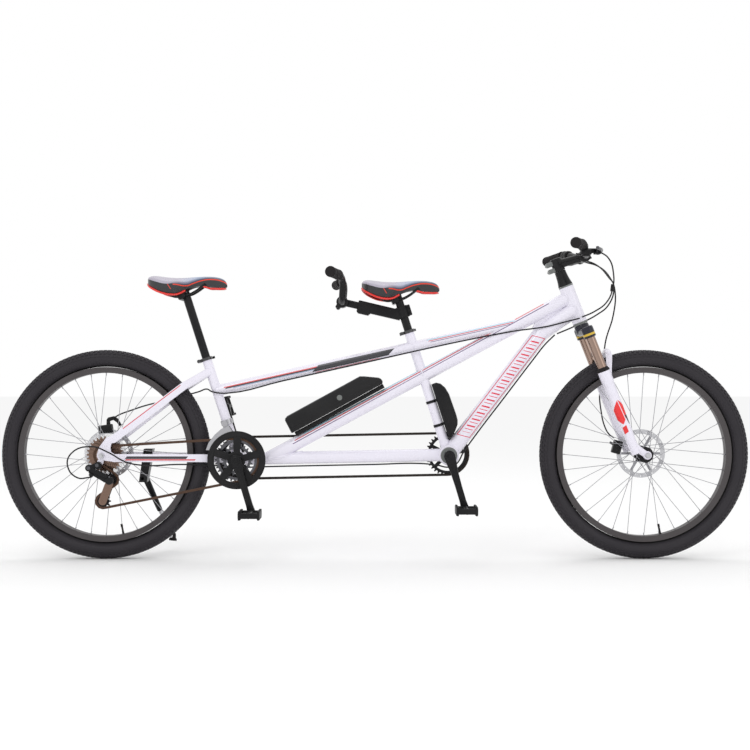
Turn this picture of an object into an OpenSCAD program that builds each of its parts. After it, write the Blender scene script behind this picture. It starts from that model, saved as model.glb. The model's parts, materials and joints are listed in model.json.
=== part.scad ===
// Two-rider bicycle with a battery assist.
// +X points to the front wheel, +Y to the riders' left, +Z up. Millimetres.
// The origin is on the ground, midway between the two wheel axles.

/* [Wheels] */
// Radius of both rims at the tyre seat
rim_r = 285; // [270:1:300]
// Depth of the rim section
rim_depth = 19; // [14:1:24]
// Width of the rim section
rim_w = 30; // [24:1:34]
// Height of the tyre above the rim
tyre_h = 56; // [46:1:68]
// Width of the tyre
tyre_w = 56; // [46:1:68]
// Number of spokes in each wheel
spoke_count = 32; // [24, 28, 32, 36]
// Radius of one spoke
spoke_r = 1.0; // [0.8:0.1:1.6]
// Radius of the brake discs
rotor_r = 80; // [70:1:90]
// Thickness of the brake discs
rotor_t = 1.8; // [1.6:0.1:2.4]

/* [Drive] */
// Teeth on each of the two timing rings and on the driven chainring
ring_teeth = 34; // [30:2:38]
// Teeth on the large chainring
big_ring_teeth = 42; // [40:1:44]
// Teeth on the small chainring
small_ring_teeth = 24; // [22:1:28]
// Teeth on the smallest sprocket of the freewheel
cog_teeth = 14; // [11:1:16]
// Teeth on each guide wheel of the rear derailleur
jockey_teeth = 11; // [10:1:13]
// Links in the timing chain
timing_links = 142; // [138:2:150]
// Length of one chain link
chain_pitch = 12.7; // [12:0.1:13]
// Length of the crank arms between axes
crank_length = 175; // [150:1:185]
// Angle of the right-hand cranks below the horizontal
crank_angle = -73.5; // [-90:0.5:-60]

/* [Frame] */
// Horizontal distance from the rear axle to the rear crank axis
chainstay = 432; // [420:1:470]
// Horizontal distance from the front crank axis to the front axle
front_centre = 638; // [610:1:700]
// Height of the rear crank axis below the wheel axles
rear_bb_drop = 15; // [0:1:30]
// Height of the front crank axis below the wheel axles
front_bb_drop = 2; // [0:1:30]
// Angle of both seat tubes from the horizontal
seat_angle = 72.2; // [70:0.1:75]
// Length of the front seat tube from the crank axis
captain_seat_length = 428; // [410:1:460]
// Length of the rear seat tube from the crank axis
stoker_seat_length = 347; // [330:1:380]
// Angle of the steering axis from the horizontal
head_angle = 68.5; // [67:0.1:72]
// Length of the head tube
head_length = 123; // [118:1:140]
// Radius of the head tube
head_r = 24; // [22:0.5:27]
// Radius of the down tube
down_r = 26.5; // [22:0.5:28]
// Radius of the tube that joins the two crank housings
boom_r = 20.5; // [17:0.5:24]
// Radius of the diagonal tubes
diagonal_r = 22; // [18:0.5:23]
// Radius of the top tubes
top_r = 18; // [15:0.5:20]
// Radius of both seat tubes
seat_tube_r = 15.9; // [15.4:0.1:18]
// Wall of the frame tubes
wall = 2; // [1.5:0.1:3]
// Half the width between the rear frame ends
rear_end_y = 67.5; // [67.5:0.5:74]

/* [Fork] */
// Distance from the lower end of the head tube down to the front axle
fork_length = 478; // [470:1:500]
// Distance of the front axle ahead of the steering axis
fork_offset = 35; // [30:1:45]
// Radius of the sliding stanchions
stanchion_r = 15; // [14:0.5:17]
// Travel of the fork
fork_travel = 45; // [30:1:50]
// Half the width between the front frame ends
front_end_y = 50; // [50:0.5:55]

/* [Seats and bars] */
// Radius of both seat posts
post_r = 13.6; // [12.7:0.1:13.6]
// Length of each saddle
saddle_length = 256; // [240:1:280]
// Width of each saddle
saddle_w = 160; // [140:1:190]
// Half the width of the front handlebar
captain_bar_half = 312; // [280:1:340]
// Half the width of the rear handlebar
stoker_bar_half = 285; // [260:1:300]
// Radius of the handlebar tubes
bar_r = 11.1; // [10:0.1:12]
// Radius of the grips
grip_r = 17; // [15:0.5:19]

/* [Battery] */
// Length of the battery case
battery_length = 340; // [280:1:345]
// Height of the battery case above its rail
battery_h = 56; // [45:1:70]
// Width of the battery case
battery_w = 86; // [70:1:110]

/* [Hidden] */
$fn = 48;
cut = 0.01;             // how far a cutter passes through a face
run = 0.05;             // radial clearance of a shaft in its bearing
far_cut = 400;          // half-length of cutters that pass right through

// ---- places in the side view, as [x, z]
tyre_r = rim_r + tyre_h;
rear_bb_z = tyre_r - rear_bb_drop;
front_bb_z = tyre_r - front_bb_drop;
bb_distance = (timing_links - ring_teeth) * chain_pitch / 2;
bb_run = sqrt(pow(bb_distance, 2) - pow(front_bb_z - rear_bb_z, 2));
wheelbase = chainstay + bb_run + front_centre;
rear_hub_at = [-wheelbase / 2, tyre_r];
front_hub_at = [wheelbase / 2, tyre_r];
stoker_bb = rear_hub_at + [chainstay, -rear_bb_drop];
captain_bb = [stoker_bb[0] + bb_run, front_bb_z];
boom_dir = (captain_bb - stoker_bb) / bb_distance;
seat_up = [-cos(seat_angle), sin(seat_angle)];
head_up = [-cos(head_angle), sin(head_angle)];
head_fwd = [sin(head_angle), cos(head_angle)];
head_low = front_hub_at + fork_length * head_up - fork_offset * head_fwd;
captain_top_join = 371;     // top tube on the front seat tube, from the crank axis
stoker_top_join = 234;      // top tube on the rear seat tube
diagonal_foot = 98;         // diagonal tube on the boom tube, from the rear crank axis
diagonal_head = 34;         // diagonal tube below the upper end of the head tube
down_head = 78;             // down tube below the upper end of the head tube
down_bend = 135;            // straight length of the down tube behind the head tube
down_head_angle = 35;       // slope of that length
captain_top_at = captain_bb + captain_top_join * seat_up;
stoker_top_at = stoker_bb + stoker_top_join * seat_up;
diagonal_foot_at = stoker_bb + diagonal_foot * boom_dir;
diagonal_head_at = head_low + (head_length - diagonal_head) * head_up;
down_head_at = head_low + (head_length - down_head) * head_up;
down_bend_at = down_head_at - down_bend * [cos(down_head_angle), sin(down_head_angle)];
diagonal_dir = (diagonal_head_at - diagonal_foot_at) / norm(diagonal_head_at - diagonal_foot_at);
diagonal_up = [-diagonal_dir[1], diagonal_dir[0]];
top_dir = (captain_top_at - stoker_top_at) / norm(captain_top_at - stoker_top_at);

// ---- cross-bike places
shell_half = 36.5;          // half the width of the crank housings
captain_shell_r = 33;
stoker_shell_r = 21;
spindle_r = 8.5;
cup_r = 17;
cup_flange = 3.5;
timing_y = 46;              // plane of the timing chain, on the left
drive_y = -52;              // plane of the drive chain, on the right
ring_gap = 7;               // distance between chainrings
cog_gap = 4.8;              // distance between sprockets
ring_t = 1.8;               // thickness of rings and sprockets
stay_y = [26, 41, 71];      // centre of the stays at the crank, at the tyre and at the axle
axle_r = 5;
axle_out = 24;              // rear axle beyond the frame ends, for a hitch
hub_r = 15;
front_flange_y = 30;
rear_flange_y = [-15, 32];
flange_r = 26;
rotor_y = 41;               // plane of the brake discs, on the left
link_plate = 1.2;
link_gap = 3.0;             // space between the plates of a link
link_h = 8;
guide_at = rear_hub_at + [26, -79];
tension_at = rear_hub_at + [0, -148];
leg_fwd = 2;                // legs ahead of the steering axis
leg_r = 20;
leg_foot_r = 15.5;
leg_y = tyre_w / 2 + 18 + leg_r;
leg_top = -173;             // upper end of the sliding legs, below the head tube
crown_top = -8.3;
crown_low = -57;
steerer_r = 14.3;
stem_z = 195;               // handlebar clamp above the lower end of the head tube
stem_reach = 90;
bar_clamp_at = head_low + stem_z * head_up + stem_reach * head_fwd;
captain_post_top = 549;     // above the crank axis, along the seat tube
stoker_post_top = 577;
post_in = 150;              // length of each post inside its seat tube
saddle_fit = [116, 12];     // top of the post from the saddle's rear, lower corner
captain_saddle_at = captain_bb + captain_post_top * seat_up - saddle_fit;
stoker_saddle_at = stoker_bb + stoker_post_top * seat_up - saddle_fit;
stem_post_at = 490;         // rear rider's stem on the front post, from the crank axis
stem_slope = 12.8;
stem_length = 202;
stem_dir = [-cos(stem_slope), sin(stem_slope)];
stem_root = captain_bb + stem_post_at * seat_up + [0, -12];
stoker_clamp_at = stem_root + stem_length * stem_dir;
stand_at = [rear_hub_at[0] + 109, tyre_r - 83.5];
stand_y = 84;
stand_foot = [79, 87, -216];

// ---- helpers
function at(p, y) = [p[0], y, p[1]];
function mirror_y(pts) = [for (p = pts) [p[0], -p[1], p[2]]];
function unit(v) = v / norm(v);
function polar(r, a) = [r * cos(a), r * sin(a)];

// A rod between two points
module rod(p, q, r) {
    v = q - p;
    h = norm(v);
    translate(p) rotate([0, acos(v[2] / h), atan2(v[1], v[0])]) cylinder(h = h, r = r);
}

// A tapered rod between two points
module cone(p, q, r1, r2) {
    v = q - p;
    h = norm(v);
    translate(p) rotate([0, acos(v[2] / h), atan2(v[1], v[0])]) cylinder(h = h, r1 = r1, r2 = r2);
}

// A rod across the bicycle at a side-view point
module across(p, y0, y1, r) translate(at(p, y0)) rotate([-90, 0, 0]) cylinder(h = y1 - y0, r = r);

// A side-view outline given a thickness from y0 to y1
module slab(y0, y1) translate([0, y1, 0]) rotate([90, 0, 0]) linear_extrude(y1 - y0) children();

// The steering frame: local z up the head tube, local x forward
module steer() translate(at(head_low, 0)) rotate([0, head_angle - 90, 0]) children();

// A seat tube's frame: local z up the tube, local x forward
module on_seat(bb) translate(at(bb, 0)) rotate([0, seat_angle - 90, 0]) children();

// A surface of revolution about the cross-bike direction
module turned(p) translate(at(p, 0)) rotate([-90, 0, 0]) rotate_extrude($fn = 96) children();

// Points of a smooth curve through a hand-chosen list
function ext(p) = concat([2 * p[0] - p[1]], p, [2 * p[len(p) - 1] - p[len(p) - 2]]);
function blend4(a, b, c, d, t) =
    0.5 * (2 * b + (c - a) * t + (2 * a - 5 * b + 4 * c - d) * t * t + (3 * b - a - 3 * c + d) * t * t * t);
function smooth(p, k) = let (e = ext(p))
    [for (i = [1 : len(e) - 3]) for (j = [0 : k - 1]) blend4(e[i - 1], e[i], e[i + 1], e[i + 2], j / k),
     p[len(p) - 1]];

// A round tube swept along points, with one ring at each point
function tangent(p, i) = unit(p[min(i + 1, len(p) - 1)] - p[max(i - 1, 0)]);
module sweep(p, r, n, side) {
    pts = [for (i = [0 : len(p) - 1])
        let (t = tangent(p, i), u = unit(cross(t, side)), w = cross(t, u))
        for (j = [0 : n - 1]) p[i] + r * (cos(360 * j / n) * u + sin(360 * j / n) * w)];
    walls = [for (i = [0 : len(p) - 2]) for (j = [0 : n - 1]) for (k = [0 : 1])
        let (a = i * n + j, b = a + n, d = i * n + (j + 1) % n, c = d + n)
        k == 0 ? [a, b, c] : [a, c, d]];
    last = (len(p) - 1) * n;
    polyhedron(concat(pts), concat(walls, [[for (j = [0 : n - 1]) j]],
        [[for (j = [0 : n - 1]) last + n - 1 - j]]));
}

// A toothed wheel outline of a chain drive
function pitch_r(teeth) = chain_pitch / (2 * sin(180 / teeth));
module teeth_outline(teeth, bore) difference() {
    polygon([for (i = [0 : teeth - 1]) for (k = [[-0.30, -3.6], [-0.13, 3.2], [0.13, 3.2], [0.30, -3.6]])
        polar(pitch_r(teeth) + k[1], (i + k[0]) * 360 / teeth)]);
    circle(bore);
}

// A closed chain around wheels: each is [centre, signed pitch radius]
function heading(w, i) = let (a = w[i], b = w[(i + 1) % len(w)], v = b[0] - a[0])
    atan2(v[1], v[0]) + asin((b[1] - a[1]) / norm(v));
function swing(from, to, sign) = let (d = (to - from) % 360)
    sign > 0 ? (d > 0 ? d - 360 : d) : (d < 0 ? d + 360 : d);
function loop(w, off, n) = [for (i = [0 : len(w) - 1])
    let (from = heading(w, (i + len(w) - 1) % len(w)), to = heading(w, i), s = swing(from, to, w[i][1]))
    for (k = [0 : n]) w[i][0] + (w[i][1] + off) * polar(1, from + 90 + s * k / n)];
module chain(w, y) for (side = [-1, 1]) {
    inner = y + side * (link_gap + link_plate) / 2;
    slab(inner - link_plate / 2, inner + link_plate / 2) difference() {
        polygon(loop(w, link_h / 2, 14));
        polygon(loop(w, -link_h / 2, 14));
    }
}

// ---- frame tubes
module head_solid() steer() cylinder(h = head_length, r = head_r);
module seat_solid(bb, length, r) on_seat(bb) cylinder(h = length, r = r);
module shell_solids(gap = 0) {
    across(captain_bb, -shell_half - gap, shell_half + gap, captain_shell_r + gap);
    across(stoker_bb, -shell_half - gap, shell_half + gap, stoker_shell_r + gap);
}
module boom_solid(r) rod(at(stoker_bb, 0), at(captain_bb, 0), r);
module diagonal_solid(r) rod(at(diagonal_foot_at, 0), at(diagonal_head_at, 0), r);
module top_solid(r) rod(at(stoker_top_at, 0), at(captain_top_at + top_dir * 380, 0), r);
// Two straight lengths mitred at the bend
module down_solid(r) {
    a = down_bend_at - captain_bb;
    lower = atan2(a[1], a[0]);
    mid = (lower + down_head_angle) / 2;
    intersection() {
        rod(at(captain_bb, 0), at(down_bend_at + 2 * r * polar(1, lower), 0), r);
        translate(at(down_bend_at, 0)) rotate([0, -mid, 0]) translate([-far_cut, 0, 0]) cube(
            [2 * far_cut, 2 * far_cut, 4 * far_cut], center = true);
    }
    intersection() {
        rod(at(down_bend_at - 2 * r * polar(1, down_head_angle), 0), at(down_head_at, 0), r);
        translate(at(down_bend_at, 0)) rotate([0, -mid, 0]) translate([far_cut, 0, 0]) cube(
            [2 * far_cut, 2 * far_cut, 4 * far_cut], center = true);
    }
}

module head_tube() color("white") steer() difference() {
    cylinder(h = head_length, r = head_r);
    translate([0, 0, -cut]) cylinder(h = head_length + 2 * cut, r = head_r - 3);
}

module down_tube() color("white") difference() {
    down_solid(down_r);
    down_solid(down_r - wall);
    head_solid();
    shell_solids();
    diagonal_solid(diagonal_r);
    seat_solid(captain_bb, captain_seat_length, seat_tube_r);
}

module top_tubes() color("white") difference() {
    top_solid(top_r);
    top_solid(top_r - wall);
    seat_solid(captain_bb, captain_seat_length, seat_tube_r);
    seat_solid(stoker_bb, stoker_seat_length, seat_tube_r);
    diagonal_solid(diagonal_r);
    top_end_cut();
}
// Everything of the top tube beyond the middle of the diagonal tube
module top_end_cut() translate(at(diagonal_head_at, 0)) rotate([0, -atan2(diagonal_dir[1], diagonal_dir[0]), 0])
    translate([0, 0, -far_cut]) cube([4 * far_cut, 2 * far_cut, 2 * far_cut], center = true);

module diagonal_tubes() color("white") difference() {
    diagonal_solid(diagonal_r);
    diagonal_solid(diagonal_r - wall);
    head_solid();
    boom_solid(boom_r);
    seat_solid(captain_bb, captain_seat_length, seat_tube_r);
}

module boom_tube() color("white") difference() {
    boom_solid(boom_r);
    boom_solid(boom_r - wall);
    shell_solids();
    seat_solid(stoker_bb, stoker_seat_length, seat_tube_r);
    seat_solid(captain_bb, captain_seat_length, seat_tube_r);
}

module seat_tubes() {
    for (s = [[captain_bb, captain_seat_length], [stoker_bb, stoker_seat_length]]) {
        color("white") difference() {
            on_seat(s[0]) difference() {
                cylinder(h = s[1], r = seat_tube_r);
                translate([0, 0, -cut]) cylinder(h = s[1] + 1, r = post_r + run);
            }
            shell_solids();
        }
        color("black") on_seat(s[0]) translate([0, 0, s[1] - 10]) seat_collar();
    }
}
// The ring that grips the post, with two ears behind it for the clamp bolt
module seat_collar() {
    difference() {
        union() {
            cylinder(h = 10, r = seat_tube_r + 3.5);
            for (side = [-1, 1]) translate([-seat_tube_r - 14, side * 6 - 3, 0]) cube([16, 6, 10]);
        }
        translate([0, 0, -1]) cylinder(h = 12, r = seat_tube_r);
        translate([-seat_tube_r - 9, -20, 5]) rotate([-90, 0, 0]) cylinder(h = 40, r = 2.6);
    }
    translate([-seat_tube_r - 9, -14, 5]) rotate([-90, 0, 0]) cylinder(h = 23.7, r = 2.6);
    translate([-seat_tube_r - 9, -14, 5]) rotate([-90, 0, 0]) cylinder(h = 4.5, r = 6);
}

module bottom_bracket_shells() color("white") {
    difference() {
        across(captain_bb, -shell_half, shell_half, captain_shell_r);
        across(captain_bb, -shell_half - 1, shell_half + 1, captain_shell_r - 6);
    }
    difference() {
        across(stoker_bb, -shell_half, shell_half, stoker_shell_r);
        across(stoker_bb, -shell_half - 1, shell_half + 1, cup_r);
    }
}

// The eccentric insert, four crank bearings and two steering bearings
module bearing_cups() {
    color("dimgray") difference() {
        across(captain_bb, -shell_half - 1, shell_half + 1, captain_shell_r - 6);
        across(captain_bb, -shell_half - 2, shell_half + 2, cup_r);
    }
    for (bb = [captain_bb, stoker_bb]) for (side = [-1, 1]) {
        lift = bb == captain_bb ? 1 : 0;
        color("silver") difference() {
            union() {
                across(bb, side * (shell_half + lift + cup_flange / 2) - cup_flange / 2,
                    side * (shell_half + lift + cup_flange / 2) + cup_flange / 2, cup_r + 2.5);
                across(bb, side * (shell_half + lift - 9) - 9, side * (shell_half + lift - 9) + 9, cup_r);
            }
            across(bb, -shell_half - 9, shell_half + 9, spindle_r + run);
        }
    }
    color("silver") steer() for (z = [[-8, 0], [head_length, head_length + 5]]) difference() {
        union() {
            translate([0, 0, z[0]]) cylinder(h = z[1] - z[0], r = head_r);
            translate([0, 0, z[0] < 0 ? 0 : head_length - 14]) cylinder(h = 14, r = head_r - 3);
        }
        translate([0, 0, -20]) cylinder(h = head_length + 40, r = steerer_r + run);
    }
}

// ---- rear triangle
stay_tall = 25;
stay_wide = 15;
module oval(p, y) translate(at(p, y)) rotate([-90, 0, 0]) cylinder(h = stay_wide, r = stay_tall / 2, center = true);
stay_mid = stoker_bb + [-110, 5];
stay_end = rear_hub_at + [40, -8];
seat_stay_top = stoker_bb + 296 * seat_up + [-10, 0];
seat_stay_mid = stoker_bb + 296 * seat_up + [-82, -44];
seat_stay_end = rear_hub_at + [38, 53];
module rear_stays() color("white") difference() {
    for (side = [-1, 1]) {
        hull() {
            oval(stoker_bb + [-14, 0], side * stay_y[0] * 0.8, $fn = 32);
            oval(stay_mid, side * stay_y[1], $fn = 32);
        }
        hull() {
            oval(stay_mid, side * stay_y[1], $fn = 32);
            oval(stay_end, side * (stay_y[2] - 4), $fn = 32);
        }
        hull() {
            oval(seat_stay_top, side * 9, $fn = 32);
            oval(seat_stay_mid, side * (tyre_w / 2 + 16), $fn = 32);
        }
        hull() {
            oval(seat_stay_mid, side * (tyre_w / 2 + 16), $fn = 32);
            oval(seat_stay_end, side * (stay_y[2] - 4), $fn = 32);
        }
    }
    shell_solids(0.15);
    seat_solid(stoker_bb, stoker_seat_length, seat_tube_r + 0.15);
    boom_solid(boom_r);
    for (side = [-1, 1]) slab(side > 0 ? rear_end_y : -rear_end_y - 7, side > 0 ? rear_end_y + 7 : -rear_end_y)
        dropout_outline();
}
// The frame ends: a plate that loops from one stay to the other round the axle
module dropout_outline() difference() {
    union() {
        translate(rear_hub_at) circle(15);
        polygon([rear_hub_at + [-15, 3], rear_hub_at + [-8, 27], rear_hub_at + [14, 57],
            seat_stay_end + [-7, 11], seat_stay_end + [8, -9], seat_stay_end + [-7, -14],
            rear_hub_at + [28, 24], rear_hub_at + [30, 12], stay_end + [2, 12], stay_end + [2, -12],
            rear_hub_at + [18, -17], rear_hub_at + [0, -14]]);
    }
    translate(rear_hub_at) circle(axle_r);
}
module dropouts() color("white") {
    for (side = [-1, 1]) slab(side > 0 ? rear_end_y : -rear_end_y - 7, side > 0 ? rear_end_y + 7 : -rear_end_y)
        dropout_outline();
    // hanger of the rear derailleur
    slab(-rear_end_y - 7, -rear_end_y) difference() {
        hull() {
            translate(rear_hub_at + [-4, -20]) circle(10);
            translate(rear_hub_at + [-9, -31]) circle(9);
        }
        dropout_outline();
    }
}

module rear_axle() color("silver") {
    across(rear_hub_at, -rear_end_y - axle_out, rear_end_y + axle_out, axle_r);
    for (side = [-1, 1]) difference() {
        translate(at(rear_hub_at, side * (rear_end_y + 11.5))) rotate([90, 0, 0])
            cylinder(h = 8, r = 9, center = true, $fn = 6);
        across(rear_hub_at, -100, 100, axle_r);
    }
}

// ---- wheels
module tyre_section() difference() {
    translate([rim_r + tyre_h - tyre_w / 2, 0]) circle(tyre_w / 2);
    translate([rim_r + tyre_h - tyre_w / 2, 0]) circle(tyre_w / 2 - 4);
    translate([rim_r - 20, -rim_w / 2]) square([20, rim_w]);
    translate([rim_r - 20, -8]) square([40, 16]);
}
module rim_section() difference() {
    translate([rim_r - rim_depth, -rim_w / 2]) square([rim_depth, rim_w]);
    translate([rim_r - 7, -rim_w / 2 + 2]) square([20, rim_w - 4]);
    translate([rim_r - rim_depth + 2, -rim_w / 2 + 3]) square([rim_depth - 11, rim_w - 6]);
}
module rotor(p) color("silver") translate([0, rotor_y, 0]) {
    slab(-rotor_t / 2, rotor_t / 2) translate(p) {
        difference() {
            circle(rotor_r, $fn = 96);
            circle(rotor_r - 15, $fn = 96);
            for (i = [0 : 23]) rotate(i * 15) translate([rotor_r - 5 - (i % 2) * 5, 0]) circle(2);
        }
        for (i = [0 : 5]) rotate(i * 60) translate([20, -4]) square([rotor_r - 34, 8]);
    }
    slab(-4, rotor_t / 2) translate(p) difference() {
        circle(25);
        circle(hub_r);
    }
}
// Each spoke leaves its flange along a tangent and ends at the rim, crossing its neighbours
module spokes(p, flange_y) for (side = [0, 1]) for (i = [0 : spoke_count / 2 - 1]) {
    turn = i % 2 == 0 ? 1 : -1;
    a = i * 720 / spoke_count + side * 360 / spoke_count;
    y = flange_y[side] + (flange_y[side] > 0 ? 1 : -1) * (turn > 0 ? 3.6 : -3.6);
    from = p + polar(flange_r - 1.5, a + turn * 78);
    to = p + polar(rim_r - rim_depth - 0.5, a);
    color("silver") rod(at(from, y), at(to, flange_y[side] > 0 ? 4 : -4), spoke_r);
}
module hub(p, flange_y, half) difference() {
    union() {
        across(p, -half, half, hub_r);
        for (y = flange_y) across(p, y - 1.5, y + 1.5, flange_r);
    }
    across(p, -half - 1, half + 1, axle_r + run);
}
module front_tyre() color("dimgray") turned(front_hub_at) tyre_section();
module rear_tyre() color("dimgray") turned(rear_hub_at) tyre_section();
module front_rim() color("gray") turned(front_hub_at) rim_section();
module rear_rim() color("gray") turned(rear_hub_at) rim_section();
module front_spokes() spokes(front_hub_at, [-front_flange_y, front_flange_y]);
module rear_spokes() spokes(rear_hub_at, rear_flange_y);
module front_hub() {
    color("black") hub(front_hub_at, [-front_flange_y, front_flange_y], front_end_y - 1);
    rotor(front_hub_at);
}
module rear_hub() {
    color("black") hub(rear_hub_at, rear_flange_y, rear_end_y - 1);
    rotor(rear_hub_at);
}
module freewheel() color("peru") translate([0, drive_y, 0]) {
    for (i = [0 : 6]) slab(i * cog_gap - ring_t / 2, i * cog_gap + ring_t / 2) translate(rear_hub_at)
        teeth_outline(cog_teeth + 2 * i + (i == 6 ? 2 : 0), hub_r + 2 + run);
    difference() {
        across(rear_hub_at, -ring_t / 2, 6 * cog_gap + ring_t / 2, hub_r + 5);
        across(rear_hub_at, -10, 50, hub_r + run);
    }
}

// ---- drive
timing_wheels = [[stoker_bb, pitch_r(ring_teeth)], [captain_bb, pitch_r(ring_teeth)]];
drive_wheels = [[rear_hub_at, pitch_r(cog_teeth)], [stoker_bb, pitch_r(ring_teeth)],
    [tension_at, pitch_r(jockey_teeth)], [guide_at, -pitch_r(jockey_teeth)]];
module timing_chain() color("dimgray") chain(timing_wheels, timing_y);
module drive_chain() color("saddlebrown") chain(drive_wheels, drive_y);

module crank_arm(bb, side, y0) {
    a = side < 0 ? crank_angle : crank_angle + 180;
    end = bb + polar(crank_length, a);
    slab(side < 0 ? -y0 - 14 : y0, side < 0 ? -y0 : y0 + 14) difference() {
        union() {
            translate(bb) circle(17);
            translate(end) circle(13);
            translate(bb) rotate(a) polygon([[0, -14], [crank_length, -11], [crank_length, 11], [0, 14]]);
        }
        translate(bb) circle(spindle_r);
        translate(end) circle(6);
    }
}
// Right-hand arm of the front crank stands closer, since it carries no rings
captain_arm_y = 62;
stoker_arm_y = 67;
left_arm_y = 58;
module timing_ring(bb) {
    slab(timing_y - ring_t / 2, timing_y + ring_t / 2) {
        translate(bb) teeth_outline(ring_teeth, pitch_r(ring_teeth) - 14);
        for (i = [0 : 4]) translate(bb) rotate(i * 72 + 10) translate([14, -6]) square(
            [pitch_r(ring_teeth) - 24, 12]);
    }
    slab(timing_y - ring_t / 2, left_arm_y) translate(bb) difference() {
        circle(17);
        circle(spindle_r);
    }
}
module captain_crankset() {
    color("silver") across(captain_bb, -captain_arm_y - 12, left_arm_y + 12, spindle_r);
    color("black") {
        crank_arm(captain_bb, -1, captain_arm_y);
        crank_arm(captain_bb, 1, left_arm_y);
        timing_ring(captain_bb);
    }
}
module stoker_crankset() {
    color("silver") across(stoker_bb, -stoker_arm_y - 12, left_arm_y + 12, spindle_r);
    color("black") {
        crank_arm(stoker_bb, -1, stoker_arm_y);
        crank_arm(stoker_bb, 1, left_arm_y);
        timing_ring(stoker_bb);
    }
}
// Three rings, the spider that holds them and the guard outside
guard_r = 94;
guard_t = 3.5;
module spider(from, to, wide) for (i = [0 : 4]) rotate(i * 72 + 16) translate([from, -wide / 2])
    square([to - from, wide]);
module stoker_chainrings() {
    for (s = [[small_ring_teeth, ring_gap], [ring_teeth, 0], [big_ring_teeth, -ring_gap]])
        color("gray") slab(drive_y + s[1] - ring_t / 2, drive_y + s[1] + ring_t / 2) translate(stoker_bb)
            teeth_outline(s[0], pitch_r(s[0]) - 14);
    color("black") {
        slab(-stoker_arm_y, -stoker_arm_y + guard_t) translate(stoker_bb) difference() {
            union() {
                difference() {
                    circle(guard_r, $fn = 96);
                    circle(guard_r - 17, $fn = 96);
                }
                spider(15, guard_r - 10, 14);
                circle(20);
            }
            circle(spindle_r);
        }
        slab(-stoker_arm_y + guard_t, drive_y + ring_gap + ring_t / 2) translate(stoker_bb) difference() {
            union() {
                circle(16);
                spider(14, pitch_r(small_ring_teeth) - 11, 12);
            }
            circle(spindle_r);
        }
        slab(drive_y - ring_gap, drive_y + ring_t / 2) translate(stoker_bb)
            spider(30, pitch_r(ring_teeth) - 11, 12);
        slab(drive_y - ring_gap - ring_t / 2, drive_y - ring_gap + ring_t / 2) translate(stoker_bb)
            spider(40, pitch_r(big_ring_teeth) - 11, 12);
    }
}

// A pedal: a cage with a gap each side of its barrel, on a spindle that enters the arm
pedal_l = 70;
pedal_w = 92;
pedal_t = 28;
module pedal(bb, side, y0, tilt) {
    a = side < 0 ? crank_angle : crank_angle + 180;
    end = bb + polar(crank_length, a);
    y_in = y0 + 18;
    translate(at(end, 0)) mirror([0, side < 0 ? 1 : 0, 0]) rotate([0, -tilt, 0]) {
        color("silver") translate([0, y0 + 1, 0]) rotate([-90, 0, 0]) cylinder(h = 20, r = 6 - run);
        color("dimgray") translate([0, y_in, 0]) rotate([-90, 0, 0]) cylinder(h = pedal_w, r = 10);
        color("dimgray") difference() {
            translate([-pedal_l / 2, y_in, -pedal_t / 2]) cube([pedal_l, pedal_w, pedal_t]);
            for (s = [-1, 1]) translate([s * 21 - 8.5, y_in + 8, -50]) cube([17, pedal_w - 16, 100]);
            translate([0, y_in - 1, 0]) rotate([-90, 0, 0]) cylinder(h = pedal_w + 2, r = 10);
        }
    }
}
module captain_pedal_right() pedal(captain_bb, -1, captain_arm_y, 0);
module captain_pedal_left() pedal(captain_bb, 1, left_arm_y, 180 - seat_angle);
module stoker_pedal_right() pedal(stoker_bb, -1, stoker_arm_y, 0);
module stoker_pedal_left() pedal(stoker_bb, 1, left_arm_y, 180 - seat_angle);

// ---- derailleurs
module front_derailleur() {
    seat_spot = 118;        // clamp above the rear crank axis
    color("black") on_seat(stoker_bb) difference() {
        union() {
            translate([0, 0, seat_spot]) cylinder(h = 16, r = seat_tube_r + 4);
            translate([-12, -42, seat_spot - 18]) cube([16, 34, 32]);
        }
        translate([0, 0, seat_spot - 30]) cylinder(h = 60, r = seat_tube_r + run);
    }
    // the cage: two plates each side of the chain, joined behind
    for (y = [-62.4, -40.4]) color("silver") slab(y - 0.8, y + 0.8) translate(stoker_bb)
        polygon([polar(92, 98), polar(113, 103), polar(112, 116), polar(108, 131), polar(106, 148),
            polar(104, 162), polar(93, 160), polar(92, 144), polar(92, 126)]);
    color("silver") slab(-62.6, -40.2) translate(stoker_bb) polygon([polar(101, 149), polar(105, 149),
        polar(103, 157), polar(99, 157)]);
}
// Body of the rear derailleur: a knuckle on the hanger, a link block, a knuckle over the cage
hanger_at = rear_hub_at + [-9, -31];
module rear_derailleur() color("black") difference() {
    union() {
        across(hanger_at, -rear_end_y - 25, -rear_end_y - 7, 12);
        across(guide_at, -rear_end_y - 20, drive_y - 8, 14);
        slab(-rear_end_y - 22, -rear_end_y - 9) polygon([hanger_at + [-42, -3], hanger_at + [-34, 8],
            hanger_at + [6, 10], guide_at + [14, 8], guide_at + [4, -12], hanger_at + [-20, -36],
            hanger_at + [-34, -28], hanger_at + [-44, -16]]);
        across(hanger_at + [-15, -24], -rear_end_y - 22, -rear_end_y - 8, 8);
    }
    across(guide_at, drive_y - 27, drive_y, 3 + run);
}
module derailleur_cage() {
    v = unit(tension_at - guide_at);
    w = 13 * [v[1], -v[0]];
    for (y = [drive_y - 6.5, drive_y + 6.5]) color("silver") slab(y - 1, y + 1) {
        translate(guide_at) circle(13);
        translate(tension_at) circle(13);
        polygon([guide_at + w, tension_at + w, tension_at - w, guide_at - w]);
    }
    color("gray") {
        across(guide_at, drive_y - 26, drive_y + 8.5, 3);
        across(tension_at, drive_y - 8.5, drive_y + 8.5, 3);
    }
}
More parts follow.
